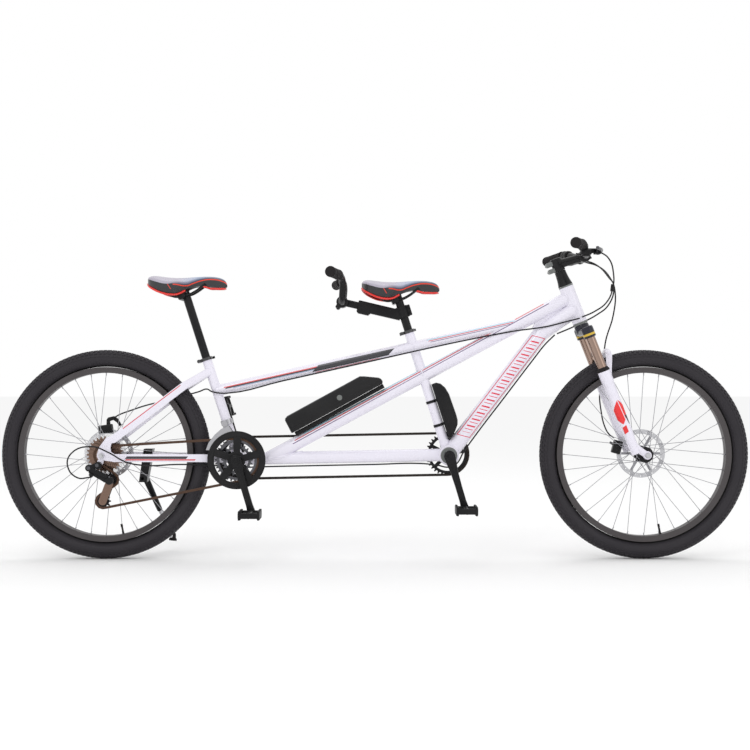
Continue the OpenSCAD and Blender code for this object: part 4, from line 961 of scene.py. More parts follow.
# ------------------------------------------------------------ bars
def smooth_route(route, at, k=6):
    pts = [Vector(p) for p in route]
    full = [Vector((p.x, -p.y, p.z)) for p in reversed(pts[1:])] + pts
    e = [2 * full[0] - full[1]] + full + [2 * full[-1] - full[-2]]
    out = []
    for i in range(1, len(e) - 2):
        a, b, c, d = e[i - 1:i + 3]
        for j in range(k):
            t = j / k
            out.append(at + 0.5 * (2 * b + (c - a) * t + (2 * a - 5 * b + 4 * c - d) * t * t + (3 * b - a - 3 * c + d) * t ** 3) * MM)
    return out + [at + full[-1] * MM]


def make_grip(p, q):
    d = (q - p).normalized()
    length = (q - p).length * 1000
    profile = [(4, 12.4), (4.4, 16.6), (8, 17), (10, 16.4)]
    x = 12.0
    while x < length - 8:
        profile += [(x, 15.0), (x + 0.8, 16.2), (x + 3.0, 16.2), (x + 3.8, 15.0)]
        x += 5.2
    profile += [(length - 4, 15.4), (length - 3, 17), (length + 3.2, 17), (length + 4.6, 15.6),
                (length + 5, 11)]
    return turned(p, d, profile, 28)


captain_route = [(0, 0, 0), (0, 24, 0), (0, 46, 0), (-6, 90, 5), (-24, 140, 16), (-38, 190, 20),
                 (-76, 312, 12)]
stoker_route = [(0, 0, 0), (0, 24, 0), (0, 42, 0), (2, 70, 16), (4, 92, 50), (0, 118, 72),
                (-8, 160, 76), (-28, 285, 76)]
rear_bar_middle = None
lo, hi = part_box("stoker_stem_slider")
rear_bar_middle = Vector((lo[0] + 0.019, 0, hi[2] - 0.019))
for name, route, at, body, node in (("front_bar", captain_route, bar_middle, "steering",
                                     "captain_handlebar"),
                                    ("rear_bar", stoker_route, rear_bar_middle, "stoker_slider",
                                     "stoker_handlebar")):
    line = smooth_route(route, at)
    bar = pipe(line, 0.0111, 7, kind="POLY")
    placed(bar, name, body, black_anodised if name == "front_bar" else black_paint,
           (node,))
    ends = [(at + Vector(route[-2]) * MM, at + Vector(route[-1]) * MM)]
    flip = [(Vector((p.x, -p.y, p.z)), Vector((q.x, -q.y, q.z))) for p, q in ends]
    grips = [make_grip(p, q) for p, q in ends + flip]
    placed(joined(name + "_grips", grips), name + "_grips", body, soft_rubber)

# stem, cone spacer, cap and clamp of the front bar
stem_bits = [
    turned(steer(0, 0, 0), up, [(128.6, 24), (130, 24.2), (136, 22.5), (150, 20), (168, 18.4),
                                (178, 18.1), (178.4, 17)], 48),
    turned(steer(0, 0, 0), up, [(179, 18), (180, 19), (182, 19.2), (218, 19.2), (221, 18.6), (223, 16),
                                (223.4, 8), (222, 7), (222, 3)], 44)]
a, b = steer(12, 0, 201), bar_middle - ahead * 0.010
stem_bits.append(turned(a, b - a, [(0, 15.5), (18, 14.2), (48, 13.6), ((b - a).length * 1000, 15.5)],
                        36))
stem_bits.append(turned(bar_middle + Vector((0, -0.022, 0)), (0, 1, 0),
                        [(0, 18), (1.2, 19.6), (20, 20), (24, 20), (42.8, 19.6), (44, 18)], 44))
for s in (-1, 1):
    for h in (-12, 12):
        p = bar_middle + ahead * 0.0115 + up * h * MM + Vector((0, s * 0.014, 0))
        stem_bits.append(turned(p, ahead, [(0, 3.8), (7.6, 3.8), (8.4, 3.2), (8.4, 2), (6.8, 1.8)], 14))
placed(joined("front_stem", stem_bits), "front_stem", "steering", black_anodised,
       ("captain_stem",))
# painted highlight: the pinch clamp's ears and bolts are glossy black on the stem, and the mid grey
# here stands for the light on them
ears = []
for h in (188, 210):
    ears.append(block((0.022, 0.026, 0.015), steer(-25, 0, h), turn=aim(up), bevel=0.003))
    ears.append(turned(steer(-33, -16, h - 1), (0, 1, 0), [(0, 3.2), (0.6, 5.2), (6, 5.2), (26, 5.2),
                                                           (31.4, 5.2), (32, 3.2)], 14))
placed(joined("stem_pinch", ears), "stem_pinch", "steering", grey_metal_and_sheen)


# brackets, shifters and levers on the front bar
def bar_point(y):
    line = smooth_route(captain_route, bar_middle, 10)
    return min(line, key=lambda p: abs(p.y - y * MM))


def make_controls():
    bits = []
    p, q = bar_point(146), bar_point(182)
    d = (q - p).normalized()
    bits.append(turned(p - d * 0.002, d, [(0, 12), (1, 15.8), (10, 16.4), (20, 15.8), (21, 14),
                                          (23, 14), (24, 15.8), (36, 16.2), (38, 15), (39, 12)], 28))
    mid = (p + q) / 2
    # shifter body slung under and ahead of the bar, with its two thumb levers
    bits.append(block((0.034, 0.034, 0.017), mid + Vector((0.010, 0.000, -0.021)), bevel=0.005))
    bits.append(turned(mid + Vector((0.010, 0, -0.034)), (0, 0, 1),
                       [(0, 8), (1, 12), (4, 13.5), (12, 13.5)], 28))
    bits.append(block((0.010, 0.030, 0.005), mid + Vector((-0.014, -0.008, -0.026)), turn=(0, 0.2, 0.3),
                      bevel=0.0018))
    # lever bracket with its clamp neck, barrel and bolt
    pivot = bar_middle + Vector((16, 168, 0)) * MM
    bits.append(block((0.020, 0.030, 0.0048), pivot + Vector((-0.001, -0.003, 0.0062)), bevel=0.0014))
    bits.append(block((0.020, 0.030, 0.0048), pivot + Vector((-0.001, -0.003, -0.0062)), bevel=0.0014))
    bits.append(block((0.030, 0.014, 0.015), pivot + Vector((-0.018, -0.012, 0.003)), bevel=0.003))
    bits.append(turned(pivot + Vector((0, 0, -0.0105)), (0, 0, 1),
                       [(0, 3.4), (0.8, 4.6), (2.2, 4.6), (19, 4.6), (20.4, 4.4), (21, 3.4)], 16))
    barrel = bar_middle + Vector((24, 148, 3)) * MM
    bits.append(turned(barrel, (0.35, -1, 0), [(0, 5), (3, 5.4), (9, 5.4), (9.4, 4.2), (14, 3.4)], 16))
    return joined("controls_left", bits)


left = make_controls()
right = mirrored(left)
placed(joined("bar_controls", [left, right]), "bar_controls", "steering", black_plastic,
       ("captain_controls",))


def make_lever(side):
    route = [(16, 168, 0), (23, 184, 0.4), (20, 212, 0.6), (11, 245, -0.4), (1, 270, -1.2),
             (-5, 283, 0)]
    widths = [1.0, 0.9, 0.75, 0.78, 0.85, 0.7]
    blade = pipe([bar_middle + Vector((x, y, z)) * MM for x, y, z in route], 0.0052, 5, radii=widths,
                 steps=8)
    for v in blade.data.vertices:
        v.co.z = bar_middle.z + (v.co.z - bar_middle.z) * 1.15
    knuckle = turned(bar_middle + Vector((16, 168, -3.4)) * MM, (0, 0, 1),
                     [(0, 6), (0.6, 7), (6.2, 7), (6.8, 6)], 20)
    tip = turned(bar_middle + Vector((-5.5, 282.5, -4.6)) * MM, (0, 0, 1),
                 [(0, 3.6), (1.5, 4.8), (7.6, 4.8), (9, 3.6)], 18)
    o = joined("lever", [blade, knuckle, tip])
    return o if side > 0 else mirrored_only(o)


def mirrored_only(o):
    twin = mirrored(o)
    bpy.data.objects.remove(o)
    return twin


placed(make_lever(1), "left_lever", "brake_lever_left", dark_steel,
       ("brake_lever_left",))
placed(make_lever(-1), "right_lever", "brake_lever_right", dark_steel,
       ("brake_lever_right",))

# rear rider's stem: forged outer beam, clamp round the post and inner beam with its bar clamp
lo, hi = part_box("stoker_stem")
post_line = front_crank + seat_up * 0.490
beam_root = post_line + Vector((0, 0, -0.012))
side_up = Vector((-beam_dir.z, 0, beam_dir.x)) * -1


def beam(u, v):
    return xz(beam_root + beam_dir * u * MM + side_up * v * MM)


outer = plate([[beam(6, -17), beam(104, -16.5), beam(110, -24.5), beam(144, -24.5), beam(150, -19),
                beam(150, 16.5), beam(146, 18), beam(6, 17)]],
              -0.015, 0.015, 0.0025)
collar = turned(post_line - seat_up * 0.0195, seat_up, [(0, 13.7), (0, 18.5), (1.4, 19.8), (36, 19.8),
                                                        (38.6, 18.5), (39, 13.7)], 44)
ear = block((0.012, 0.022, 0.036), post_line + seat_fwd * 0.0225, turn=aim(seat_up), bevel=0.0025)
bolts = [turned(post_line + seat_fwd * 0.0235 + seat_up * h * MM + Vector((0, -0.0145, 0)), (0, 1, 0),
                [(0, 3.6), (1, 4.4), (4, 4.4), (25, 4.4), (28, 4.4), (29, 3.6)], 14) for h in (-10, 10)]
placed(joined("rear_stem_outer", [outer, collar, ear] + bolts), "rear_stem_outer", "captain_post",
       black_plastic, ("stoker_stem",))
inner = plate([[beam(62, -11.3), beam(186, -11.3), beam(186, 11.3), beam(62, 11.3)]], -0.0099, 0.0099,
              0.0012)
clampring = turned(rear_bar_middle + Vector((0, -0.022, 0)), (0, 1, 0),
                   [(0, 17.6), (1.2, 19), (42.8, 19), (44, 17.6)], 44)
jaw = block((0.016, 0.040, 0.014), rear_bar_middle + Vector((-0.013, 0, -0.015)), turn=(0, 0.5, 0),
            bevel=0.003)
screws = [turned(rear_bar_middle + Vector((-0.016, s * 0.013, -0.024)), (0.4, 0, 1),
                 [(0, 3.2), (0.6, 3.8), (5, 3.8)], 14) for s in (-1, 1)]
placed(joined("rear_stem_inner", [inner, clampring, jaw] + screws), "rear_stem_inner", "stoker_slider",
       black_paint, ("stoker_stem_slider",))

# ------------------------------------------------------------ fork
LEG_Y = 66                                 # each fork leg stands this far from the middle, mm
crown_bits = [
    turned(steer(0, 0, 0), up, [(-42, 16), (-40, 22), (-36, 24.4), (-20, 24.4), (-12, 23.6), (-9, 22),
                                (-8.6, 14.2), (176, 14.2)], 44)]
for s in (-1, 1):
    crown_bits.append(turned(steer(2, s * LEG_Y, 0), up, [(-57, 17.6), (-56, 19.6), (-54, 20),
                                                          (-26, 20), (-21, 18.6), (-19.6, 15),
                                                          (-19, 9)], 40))
arch = shell([[steer(x * wide, y, z) for x, z in ((-20, -38), (-17, -24), (-8, -19.5), (8, -19.5),
                                                  (17, -24), (20, -38), (16, -44), (0, -45), (-16, -44),
                                                  (-20, -38))]
              for y, wide in ((-66, 0.8), (-52, 0.86), (-34, 0.98), (-16, 1.1), (0, 1.14), (16, 1.1),
                              (34, 0.98), (52, 0.86), (66, 0.8))])
outward(arch)
shaded(arch, 60)
crown_bits.append(arch)


def crown_paint(g, place, color):
    v = along(g, place, xz(head_foot), (ahead.x, ahead.z))[1]
    band = g.group(BAND, Value=v, Low=-0.0495, High=-0.0425).outputs[0]
    y = g.split(place)[1]
    legs = g.math("GREATER_THAN", g.math("ABSOLUTE", y), 0.046)
    return g.mix(g.math("MULTIPLY", band, legs), color, rgb(0.62, 0.42, 0.04))


placed(joined("crown", crown_bits), "crown", "steering",
       finish("crown_gloss", rgb(0.010, 0.011, 0.022), 0.22, bump=0.04, coat=0.4, paint=crown_paint),
       ("fork_crown",))
finish_node("fork_stanchions", bronze_gloss)
seals = []
for s in (-1, 1):
    seals.append(turned(steer(2, s * LEG_Y, -173.5), up, [(0, 20.2), (1, 20.8), (5, 20.6), (8, 18.2),
                                                          (12, 17.4), (13, 15.2)], 36))
placed(joined("dust_seals", seals), "dust_seals", "fork_slider", soft_rubber)

low = []
for s in (-1, 1):
    low.append(turned(steer(2, s * LEG_Y, -173), up, [(-287, 11), (-285, 14.4), (-270, 15.6),
                                                      (-230, 16), (-120, 17.6), (-44, 18.8),
                                                      (-34, 20.4), (-6, 20.6), (-1, 20), (0, 18)], 44))
    # the foot, drawn out forward to the axle
    rows = []
    for t in range(9):
        f = t / 8.0
        c = steer(2 + 33 * f ** 1.3, s * (LEG_Y - 8.5 * f), -424 - 54 * f)
        w, h = 14.5 - 1.5 * f, 15.5 - 2.5 * f
        rows.append([c + (ahead * cos(q) * w + Vector((0, 1,
                                                       0)) * sin(q) * (h if f < 0.4 else h * (1 - 0.45 * (f - 0.4) / 0.6))) * MM
                     for q in [2 * pi * k / 20 for k in range(21)]])
    foot = shell(rows)
    outward(foot)
    shaded(foot, 60)
    low.append(foot)
    low.append(turned(Vector((front_axle.x, s * 0.050, front_axle.z)), (0, s, 0),
                      [(0, 8), (0.1, 13.4), (12.6, 13.4), (14, 12), (14, 8)], 36))
arc = ((-66, -214), (-65.5, -190), (-60, -158), (-44, -133), (-22, -121), (0, -118), (22, -121),
       (44, -133), (60, -158), (65.5, -190), (66, -214))
rows = []
for y, z in arc:
    k = abs(y) / LEG_Y
    fwd = 45 - 31 * k ** 6
    c = steer(fwd, y, z)
    n = Vector((0, -y * 0.012, 0)) + up
    n.normalize()
    rows.append([c + ahead * cos(q) * (10.5 if z > -185 else 6) * MM + n * sin(q) * 8.5 * MM for q in [2 * pi * j / 16 for j in range(17)]])
bridge = shell(rows)
modify(bridge, "SUBSURF", levels=1, render_levels=1)
outward(bridge)
shaded(bridge, 60)
low.append(bridge)


def leg_paint(g, place, color):
    u, v = along(g, place, xz(head_foot), (ahead.x, ahead.z))
    outer = g.math("GREATER_THAN", g.math("ABSOLUTE", g.split(place)[1]), LEG_Y * MM)
    # a pointed red oval with a pale slash along it, a small red block and a dark wedge below
    cu, cv = u, g.math("SUBTRACT", v, -0.314)
    bend = g.math("MULTIPLY", g.math("SUBTRACT", 1.0, g.math("POWER",
        g.math("ABSOLUTE", g.math("DIVIDE", cv, 0.041)), 2.0)), 0.019)
    lean_u = g.math("ADD", cu, g.math("MULTIPLY", cv, -0.12))
    oval = g.math("MULTIPLY", g.math("LESS_THAN", g.math("ABSOLUTE", g.math("SUBTRACT", lean_u, 0.001)),
                                     bend), outer)
    slash = g.group(BAND, Value=g.math("ADD", cu, g.math("MULTIPLY", cv, 0.06)), Low=0.0062,
                    High=0.0084).outputs[0]
    box = g.math("MULTIPLY", g.group(BAND, Value=g.math("ADD", cv, g.math("MULTIPLY", cu, -0.35)),
                                     Low=-0.069, High=-0.046).outputs[0],
                 g.math("MULTIPLY", outer, g.group(BAND, Value=cu, Low=-0.0105,
                                                   High=0.0035).outputs[0]))
    dark = g.math("MULTIPLY", g.group(BAND, Value=cv, Low=-0.046, High=-0.014).outputs[0],
                  g.math("MULTIPLY", outer, g.math("GREATER_THAN",
                                                   g.math("ADD", cu, g.math("MULTIPLY", cv, 0.16)),
                                                   0.0075)))
    out = g.mix(oval, color, rgb(0.80, 0.002, 0.004))
    out = g.mix(g.math("MULTIPLY", oval, slash), out, color)
    out = g.mix(box, out, rgb(0.75, 0.002, 0.004))
    return g.mix(dark, out, INK)


placed(joined("lower_legs", low), "lower_legs", "fork_slider",
       finish("leg_white", WHITE, 0.24, bump=0.02, coat=0.5, dust=0.05, paint=leg_paint),
       ("fork_lowers",))
axle_bits = [turned(front_axle + Vector((0, -0.070, 0)), (0, 1, 0),
                    [(0, 3.5), (1, 5), (139, 5), (140, 3.5)], 20)]
for s in (-1, 1):
    axle_bits.append(turned(Vector((front_axle.x, s * 0.064, front_axle.z)), (0, s, 0),
                            [(0, 10.5), (1, 10.5), (1.2, 8.6), (8, 8.6), (9, 7.6)], 6))
placed(joined("front_axle_nuts", axle_bits), "front_axle_nuts", "fork_slider", bare_steel)


# ------------------------------------------------------------ brakes
def make_caliper(hub, turn_deg, name, body, node, arm):
    q = radians(turn_deg)
    m = Matrix.Translation((hub.x, 0.041, hub.z)) @ Matrix.Rotation(q, 4,
        "Y") @ Matrix.Translation((0, 0, 0.080))
    bits = [block((0.044, 0.0075, 0.028), (0, -0.0055, 0.001), bevel=0.002),
            block((0.044, 0.0155, 0.028), (0, 0.0094, 0.001), bevel=0.003),
            block((0.040, 0.024, 0.007), (0, 0.003, 0.0118), bevel=0.002),
            turned((0, 0.0165, 0.000), (0, 1, 0), [(0, 12), (1, 12), (1.5, 9), (1.6, 4)], 28),
            block((0.008, 0.006, 0.026), (0.006, 0.020, 0.012), turn=(0.0, 0.25, 0), bevel=0.0018),
            turned((-0.017, 0.004, 0.014), (0, 0, 1), [(-2, 4.4), (0, 4.8), (1.4, 4.8), (1.6, 2.6),
                                                       (0.4, 2.4)], 14),
            turned((0.017, 0.004, 0.014), (0, 0, 1), [(-2, 4.4), (0, 4.8), (1.4, 4.8), (1.6, 2.6),
                                                      (0.4, 2.4)], 14)]
    if arm:
        hook = [(-2, 8), (2, 32), (8, 38), (28, 40), (40, 30), (49, 8), (42, 3), (34, 18), (24, 27),
                (13, 25), (12, 8)]
        bits.append(plate([[(x * MM, z * MM) for x, z in hook]], 0.0185, 0.0248, 0.0012))
        bits.append(turned((0.030, 0.0165, 0.034), (0, 1, 0), [(0, 3), (0.6, 4.4), (9, 4.4), (9.6, 3)],
                           14))
    o = joined(name, bits)
    o.data.transform(m)
    placed(o, name, body, black_paint, (node,))


make_caliper(rear_axle, -8, "rear_caliper", "frame", "rear_brake_caliper", True)
make_caliper(front_axle, -75, "front_caliper", "fork_slider", "front_brake_caliper", False)

# ------------------------------------------------------------ rear derailleur body
hanger = rear_axle + Vector((-9, 0, -31)) * MM
rear_knuckle = hanger + Vector((-0.030, 0, -0.008))
bits = [turned(hanger + Vector((0, -0.0925, 0)), (0, 1, 0), [(0, 7), (0.6, 10), (3, 12), (17, 12),
    (18, 11)], 32),
        turned(Vector((guide.x, -0.0875, guide.z)), (0, 1, 0),
               [(0, 8), (1, 12.5), (4, 14), (24, 14), (26.5, 13)], 36),
        turned(rear_knuckle + Vector((0, -0.0900, 0)), (0, 1, 0),
               [(0, 6), (0.6, 8.6), (3, 11), (12, 11), (13, 10)], 32),
        plate([capsule(xz(rear_knuckle), xz(hanger + Vector((-0.002, 0, 0))), 0.0085)], -0.0875,
              -0.0785, 0.0022),
        plate([capsule(xz(rear_knuckle + Vector((0.008, 0, -0.004))),
                       xz(guide + Vector((-0.010, 0, 0.014))), 0.0070)], -0.0893, -0.0845, 0.0016),
        plate([capsule(xz(rear_knuckle + Vector((0.006, 0, -0.013))),
                       xz(guide + Vector((-0.012, 0, 0.000))), 0.0070)], -0.0840, -0.0775, 0.0016),
        block((0.014, 0.012, 0.010), hanger + Vector((-0.022, -0.083, -0.030)), turn=(0, 0.5, 0),
              bevel=0.002),
        turned(hanger + Vector((-0.020, -0.083, -0.033)), (-0.62, -0.1, -0.42),
               [(0, 4.6), (4, 4.6), (4.5, 3.4), (9, 3)], 16)]
trim = [turned(rear_knuckle + Vector((0, -0.0902, 0)), (0, -1, 0),
               [(0, 6.4), (0.5, 6.0), (0.5, 4.4), (-0.2, 4.0), (-0.2, 2)], 24),
        turned(Vector((guide.x + 0.002, -0.0882, guide.z + 0.012)), (0, -1, 0),
               [(0, 3.4), (0.8, 3.0), (0.8, 1.6), (0.2, 1.4)], 16),
        turned(hanger + Vector((-0.002, -0.0928, 0.001)), (0, -1, 0),
               [(0, 6.6), (0.5, 6.2), (0.5, 3.4), (-0.6, 3.2), (-0.6, 1)], 6)]
placed(joined("derailleur_trim", trim), "derailleur_trim", "frame", dark_steel)
placed(joined("derailleur_body", bits), "derailleur_body", "frame", black_paint,
       ("rear_derailleur",))

# ------------------------------------------------------------ battery and control box
origin = Vector(joints["battery_removal"].get("pos_m", (0, 0, 0)))
tube_n = Vector((-tube_dir.z, 0, tube_dir.x))
if tube_n.z < 0:
    tube_n = -tube_n
lo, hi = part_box("battery_rail")
foot = rear_crank + (front_crank - rear_crank).normalized() * 0.098


def on_tube(u, v):
    return foot + (tube_dir * u + tube_n * v) * MM


v0 = 34.3
outline = [(108, v0 + 3), (109, v0 + 48), (113, v0 + 54), (120, v0 + 56), (392, v0 + 56),
           (402, v0 + 51), (442, v0 + 24), (447, v0 + 17), (448, v0 + 8), (444, v0 + 0.6),
           (112, v0 + 0.6)]
case = plate([[xz(on_tube(u, v)) for u, v in outline]], -0.043, 0.043, 0.0065)
lid = plate([[xz(on_tube(u, v)) for u, v in ((116, v0 + 47), (388, v0 + 47), (400, v0 + 50),
                                             (391, v0 + 57.4), (121, v0 + 57.4), (115, v0 + 53))]],
                                             -0.0395, 0.0395, 0.003)
seam = plate([[xz(on_tube(u, v)) for u, v in ((111, v0 + 12), (446, v0 + 12), (446, v0 + 13.4),
                                              (111, v0 + 13.4))]], -0.0434, 0.0434, 0.0004)
placed(joined("battery_case", [case, seam]), "battery_case", "battery",
       finish("battery_shell", rgb(0.012, 0.012, 0.013), 0.42, bump=0.3, grain=1500),
       ("battery",))
placed(lid, "battery_lid", "battery", finish("battery_bevel", rgb(0.07, 0.07, 0.078), 0.4, bump=0.3,
                                             grain=1500))
lock = turned(on_tube(300, v0 + 28) + Vector((0, -0.0425, 0)), (0, -1, 0),
              [(0, 9), (1.2, 8.6), (1.4, 6), (0.6, 5.6), (0.6, 2)], 28)
placed(lock, "battery_lock", "battery", grey_metal_and_sheen)
rail = plate([[xz(on_tube(u, v)) for u, v in ((116, 20), (444, 20), (440, 33.6), (120, 33.6))]], -0.024,
             0.024, 0.002)
ends = [block((0.020, 0.040, 0.012), on_tube(u, 28), turn=aim(tube_n), bevel=0.002) for u in (126, 434)]
placed(joined("rail", [rail] + ends), "rail", "frame", black_plastic,
       ("battery_rail",))


def on_post(x, z):
    return front_crank + (seat_fwd * x + seat_up * z) * MM


box = plate([[xz(on_post(x, z)) for x, z in ((18, 50), (26, 52), (44, 68), (58, 86), (63, 100),
                                             (64, 120), (62, 190), (56, 214), (46, 230), (34, 237),
                                             (18, 236))]],
            -0.028, 0.028, 0.007)
face = plate([[xz(on_post(x, z)) for x, z in ((28, 66), (42, 78), (54, 96), (56, 186), (44, 222),
                                              (28, 226))]], -0.0292, 0.0292, 0.001)
placed(joined("control_box", [box, face]), "control_box", "frame", black_plastic,
       ("controller_box",))
straps = []
for z in (98, 178):
    straps.append(turned(on_post(0, z), seat_up, [(0, 16.2), (0.2, 17.6), (8.8, 17.6), (9, 16.2)], 36))
    straps.append(block((0.014, 0.026, 0.009), on_post(18, z + 4.5), turn=aim(seat_up), bevel=0.002))
placed(joined("box_straps", straps), "box_straps", "frame", black_paint)

# ------------------------------------------------------------ kickstand
pivot = spot("kickstand_fold")
root = Vector((pivot.x, 0.096, pivot.z))
end = Vector((pivot.x, 0.084, pivot.z)) + Vector((79, 87, -216)) * MM
d = end - root
leg = [turned(pivot + Vector((0, -0.016, 0)), (0, 1, 0), [(0, 5), (16.2, 5), (16.4, 12), (17, 13),
                                                          (27, 13), (28, 12), (28.2, 6), (26, 5)], 32),
       turned(root - d.normalized() * 0.004, d, [(0, 8), (4, 11), (40, 10.6), (130, 9.2), (132, 8.4)],
              32)]
placed(joined("stand_upper", leg), "stand_upper", "kickstand", black_paint,
       ("kickstand_leg",))
lower = turned(root, d, [(118, 6.4), (d.length * 1000 - 4, 6.4)], 28)
placed(lower, "stand_lower", "kickstand", bare_steel)
shoe = turned(end + Vector((0, 0, -0.006)), (0.1, 0.1, 1), [(0, 12.4), (1, 13.6), (6, 13.4), (10, 10),
                                                            (24, 8.2), (26, 7)], 28)
placed(shoe, "stand_foot", "kickstand", soft_rubber)
finish_node("kickstand_bracket", black_paint)

# ------------------------------------------------------------ cables
HOUSING_R = 0.0024


def cable(route):
    """A smooth housing through a route given in mm."""
    return pipe([Vector(p) * MM for p in route], HOUSING_R, 3, steps=5)


steer_cables = [
    [[707, -144, 990], [742, -112, 972], [768, -60, 930], [772, -28, 880], [752, -29, 836],
     [712, -33, 806], [672, -34, 788]],
    [[707, 144, 990], [744, 110, 970], [772, 52, 926], [780, -8, 880], [764, 6, 828], [730, 29, 798],
     [692, 33, 777],
     [650, 33, 757], [600, 31, 736]],
    [[709, 144.5, 983], [750, 114, 966], [780, 62, 924], [790, 24, 874], [788, 42, 800], [768, 80, 706],
     [764, 94, 600],
     [752, 93, 540], [755, 84, 480], [764, 70, 430], [778, 58, 402], [792, 50, 392]]]
frame_lines = [
    [[664, -34, 784], [620, -32, 773], [560, -29, 758], [448, -25, 742], [330, -24, 720],
     [150, -26, 682], [0, -24, 648],
     [-300, -24, 581], [-480, -24, 541], [-528, -21, 545], [-550, 0, 554], [-580, 26, 545],
     [-620, 36, 534],
     [-680, 38, 516], [-744, 40, 503], [-810, 44, 482], [-848, 50, 468], [-864, 56, 459]],
    [[592, 29, 732], [558, 16, 700], [520, -6, 655], [420, -8, 524], [330, -8, 406], [290, -8, 350],
     [264, -6, 308],
     [240, -6, 299], [205, -6, 305], [150, -6, 311], [0, -6, 308], [-200, -6, 304], [-380, -6, 300],
     [-450, -10, 298],
     [-500, -25, 304], [-556, -41, 309], [-640, -50, 311], [-740, -66, 309], [-800, -84, 322],
     [-850, -96, 352],
     [-905, -104, 372], [-968, -104, 350], [-980, -102, 310], [-950, -96, 272], [-914, -84, 272]]]
placed(joined("bar_housings", [cable(c) for c in steer_cables]), "bar_housings", "steering",
       cable_black,
       ("steering_cables",))
placed(joined("frame_housings", [cable(c) for c in frame_lines]), "frame_housings", "frame",
       cable_black,
       ("frame_cables",))
sleeve = turned(Vector((771, -29, 895)) * MM, (-0.12, 0.03, -1),
                [(0, 3.2), (1, 4.6), (22, 4.6), (24, 3.2)], 20)
placed(sleeve, "cable_joiner", "steering", black_plastic)


# ------------------------------------------------------------ welds and stops
BEAD_R = 0.0021


def weld(a, da, ra, b, db, rb):
    """A bead where a tube (b, db, rb) runs into the side of a tube (a, da, ra)."""
    db, da = Vector(db).normalized(), Vector(da).normalized()
    side = Vector((0, 1, 0))
    n = side.cross(db).normalized()
    pts = []
    for i in range(40):
        q = 2 * pi * i / 40
        p = Vector(b) + (side * cos(q) + n * sin(q)) * rb
        # distance back along db until the point leaves the first tube
        w = p - Vector(a)
        A = db - da * db.dot(da)
        B = w - da * w.dot(da)
        qa, qb, qc = A.dot(A), 2 * A.dot(B), B.dot(B) - ra * ra
        disc = qb * qb - 4 * qa * qc
        if disc <= 0:
            t = -qb / (2 * qa)
        else:
            t = (-qb - math.sqrt(disc)) / (2 * qa)
        pts.append(p + db * t)
    return pipe(pts, BEAD_R, 2, closed=True, kind="POLY")


diag_head = head_foot + up * 0.089
top_a = rear_crank + seat_up * 0.234
top_b = front_crank + seat_up * 0.371
top_d = (top_b - top_a).normalized()
down_join = head_foot + up * 0.045
down_dir = Vector((cos(radians(35)), 0, sin(radians(35))))
bend = down_join - down_dir * 0.135
lower_d = (bend - front_crank).normalized()
Y = Vector((0, 1, 0))
beads = [weld(head_foot, up, 0.024, diag_head, tube_dir, 0.022),
         weld(head_foot, up, 0.024, down_join, down_dir, 0.0265),
         weld(front_crank, Y, 0.033, bend, -lower_d, 0.0265),
         weld(front_crank, Y, 0.033, front_crank + seat_up * 0.1, -seat_up, 0.0159),
         weld(rear_crank, Y, 0.021, rear_crank + seat_up * 0.1, -seat_up, 0.0159),
         weld(rear_crank, seat_up, 0.0159, top_b, -top_d, 0.018),
         weld(front_crank, seat_up, 0.0159, top_a, top_d, 0.018),
         weld(front_crank, seat_up, 0.0159, foot, tube_dir, 0.022),
         weld(front_crank, Y, 0.033, rear_crank + (front_crank - rear_crank) * 0.5,
              (front_crank - rear_crank), 0.0205),
         weld(rear_crank, Y, 0.021, front_crank - (front_crank - rear_crank) * 0.5,
              (rear_crank - front_crank), 0.0205),
         weld(rear_crank, (front_crank - rear_crank), 0.0205, diag_head, -tube_dir, 0.022)]
gusset = plate([[(0.512, 0.752), (0.528, 0.750), (0.545, 0.768), (0.575, 0.788), (0.612, 0.812),
                 (0.612, 0.826),
                 (0.560, 0.798), (0.530, 0.782)]], -0.007, 0.007, 0.002)
placed(joined("weld_beads", beads + [gusset]), "weld_beads", "frame", gloss_white)

# ------------------------------------------------------------ frame paint
finish_node("head_tube", gloss_white)
finish_node("bottom_bracket_shells", gloss_white)
finish_node("dropouts", gloss_white)
finish_node("bearing_cups", grey_metal_and_sheen)
finish_node("boom_tube", gloss_white)
finish_node("captain_clamp_lever", black_paint)
finish_node("stoker_clamp_lever", black_paint)


def seat_paint(g, place, color):
    out = color
    for bb, top in ((front_crank, 0.418), (rear_crank, 0.337)):
        u, v = along(g, place, xz(bb), (seat_up.x, seat_up.z))
        near = g.math("LESS_THAN", g.math("ABSOLUTE", v), 0.04)
        out = g.mix(g.math("MULTIPLY", near, g.math("GREATER_THAN", u, top)), out,
                    rgb(0.02, 0.02, 0.022))
    return out


finish_node("seat_tubes", finish("seat_tube_white", WHITE, 0.26, coat=0.4, bump=0.02, dust=0.05,
                                 paint=seat_paint))
finish_node("diagonal_tubes", finish("diagonal_white", WHITE, 0.26, coat=0.5, bump=0.02, dust=0.05,
                                     paint=tube_paint(
    xz(foot), xz(tube_dir), [(150, 1030, 13.5, 19.0, PALE_BLUE), (110, 1036, 8.6, 11.4, RED),
                             (96, 1046, 2.0, 4.6, PLUM)])))
finish_node("top_tubes", finish("top_white", WHITE, 0.26, coat=0.5, bump=0.02, dust=0.05,
                                paint=tube_paint(
    xz(top_a), xz(top_d), [(20, 330, 3.0, 6.5, RED, 0), (30, 345, -1.2, 3.0, INK, 0),
                           (60, 360, -3.6, -2.0, BLUE, 0),
                           (330, 585, -9.0, 9.0, INK, 0), (345, 560, -12.5, -11.0, RED, 0),
                           (690, 985, 9.5, 12.8, PALE_BLUE), (700, 990, 6.0, 8.4, RED),
                           (712, 995, 1.6, 3.6, PLUM)], lean=-1.4)))


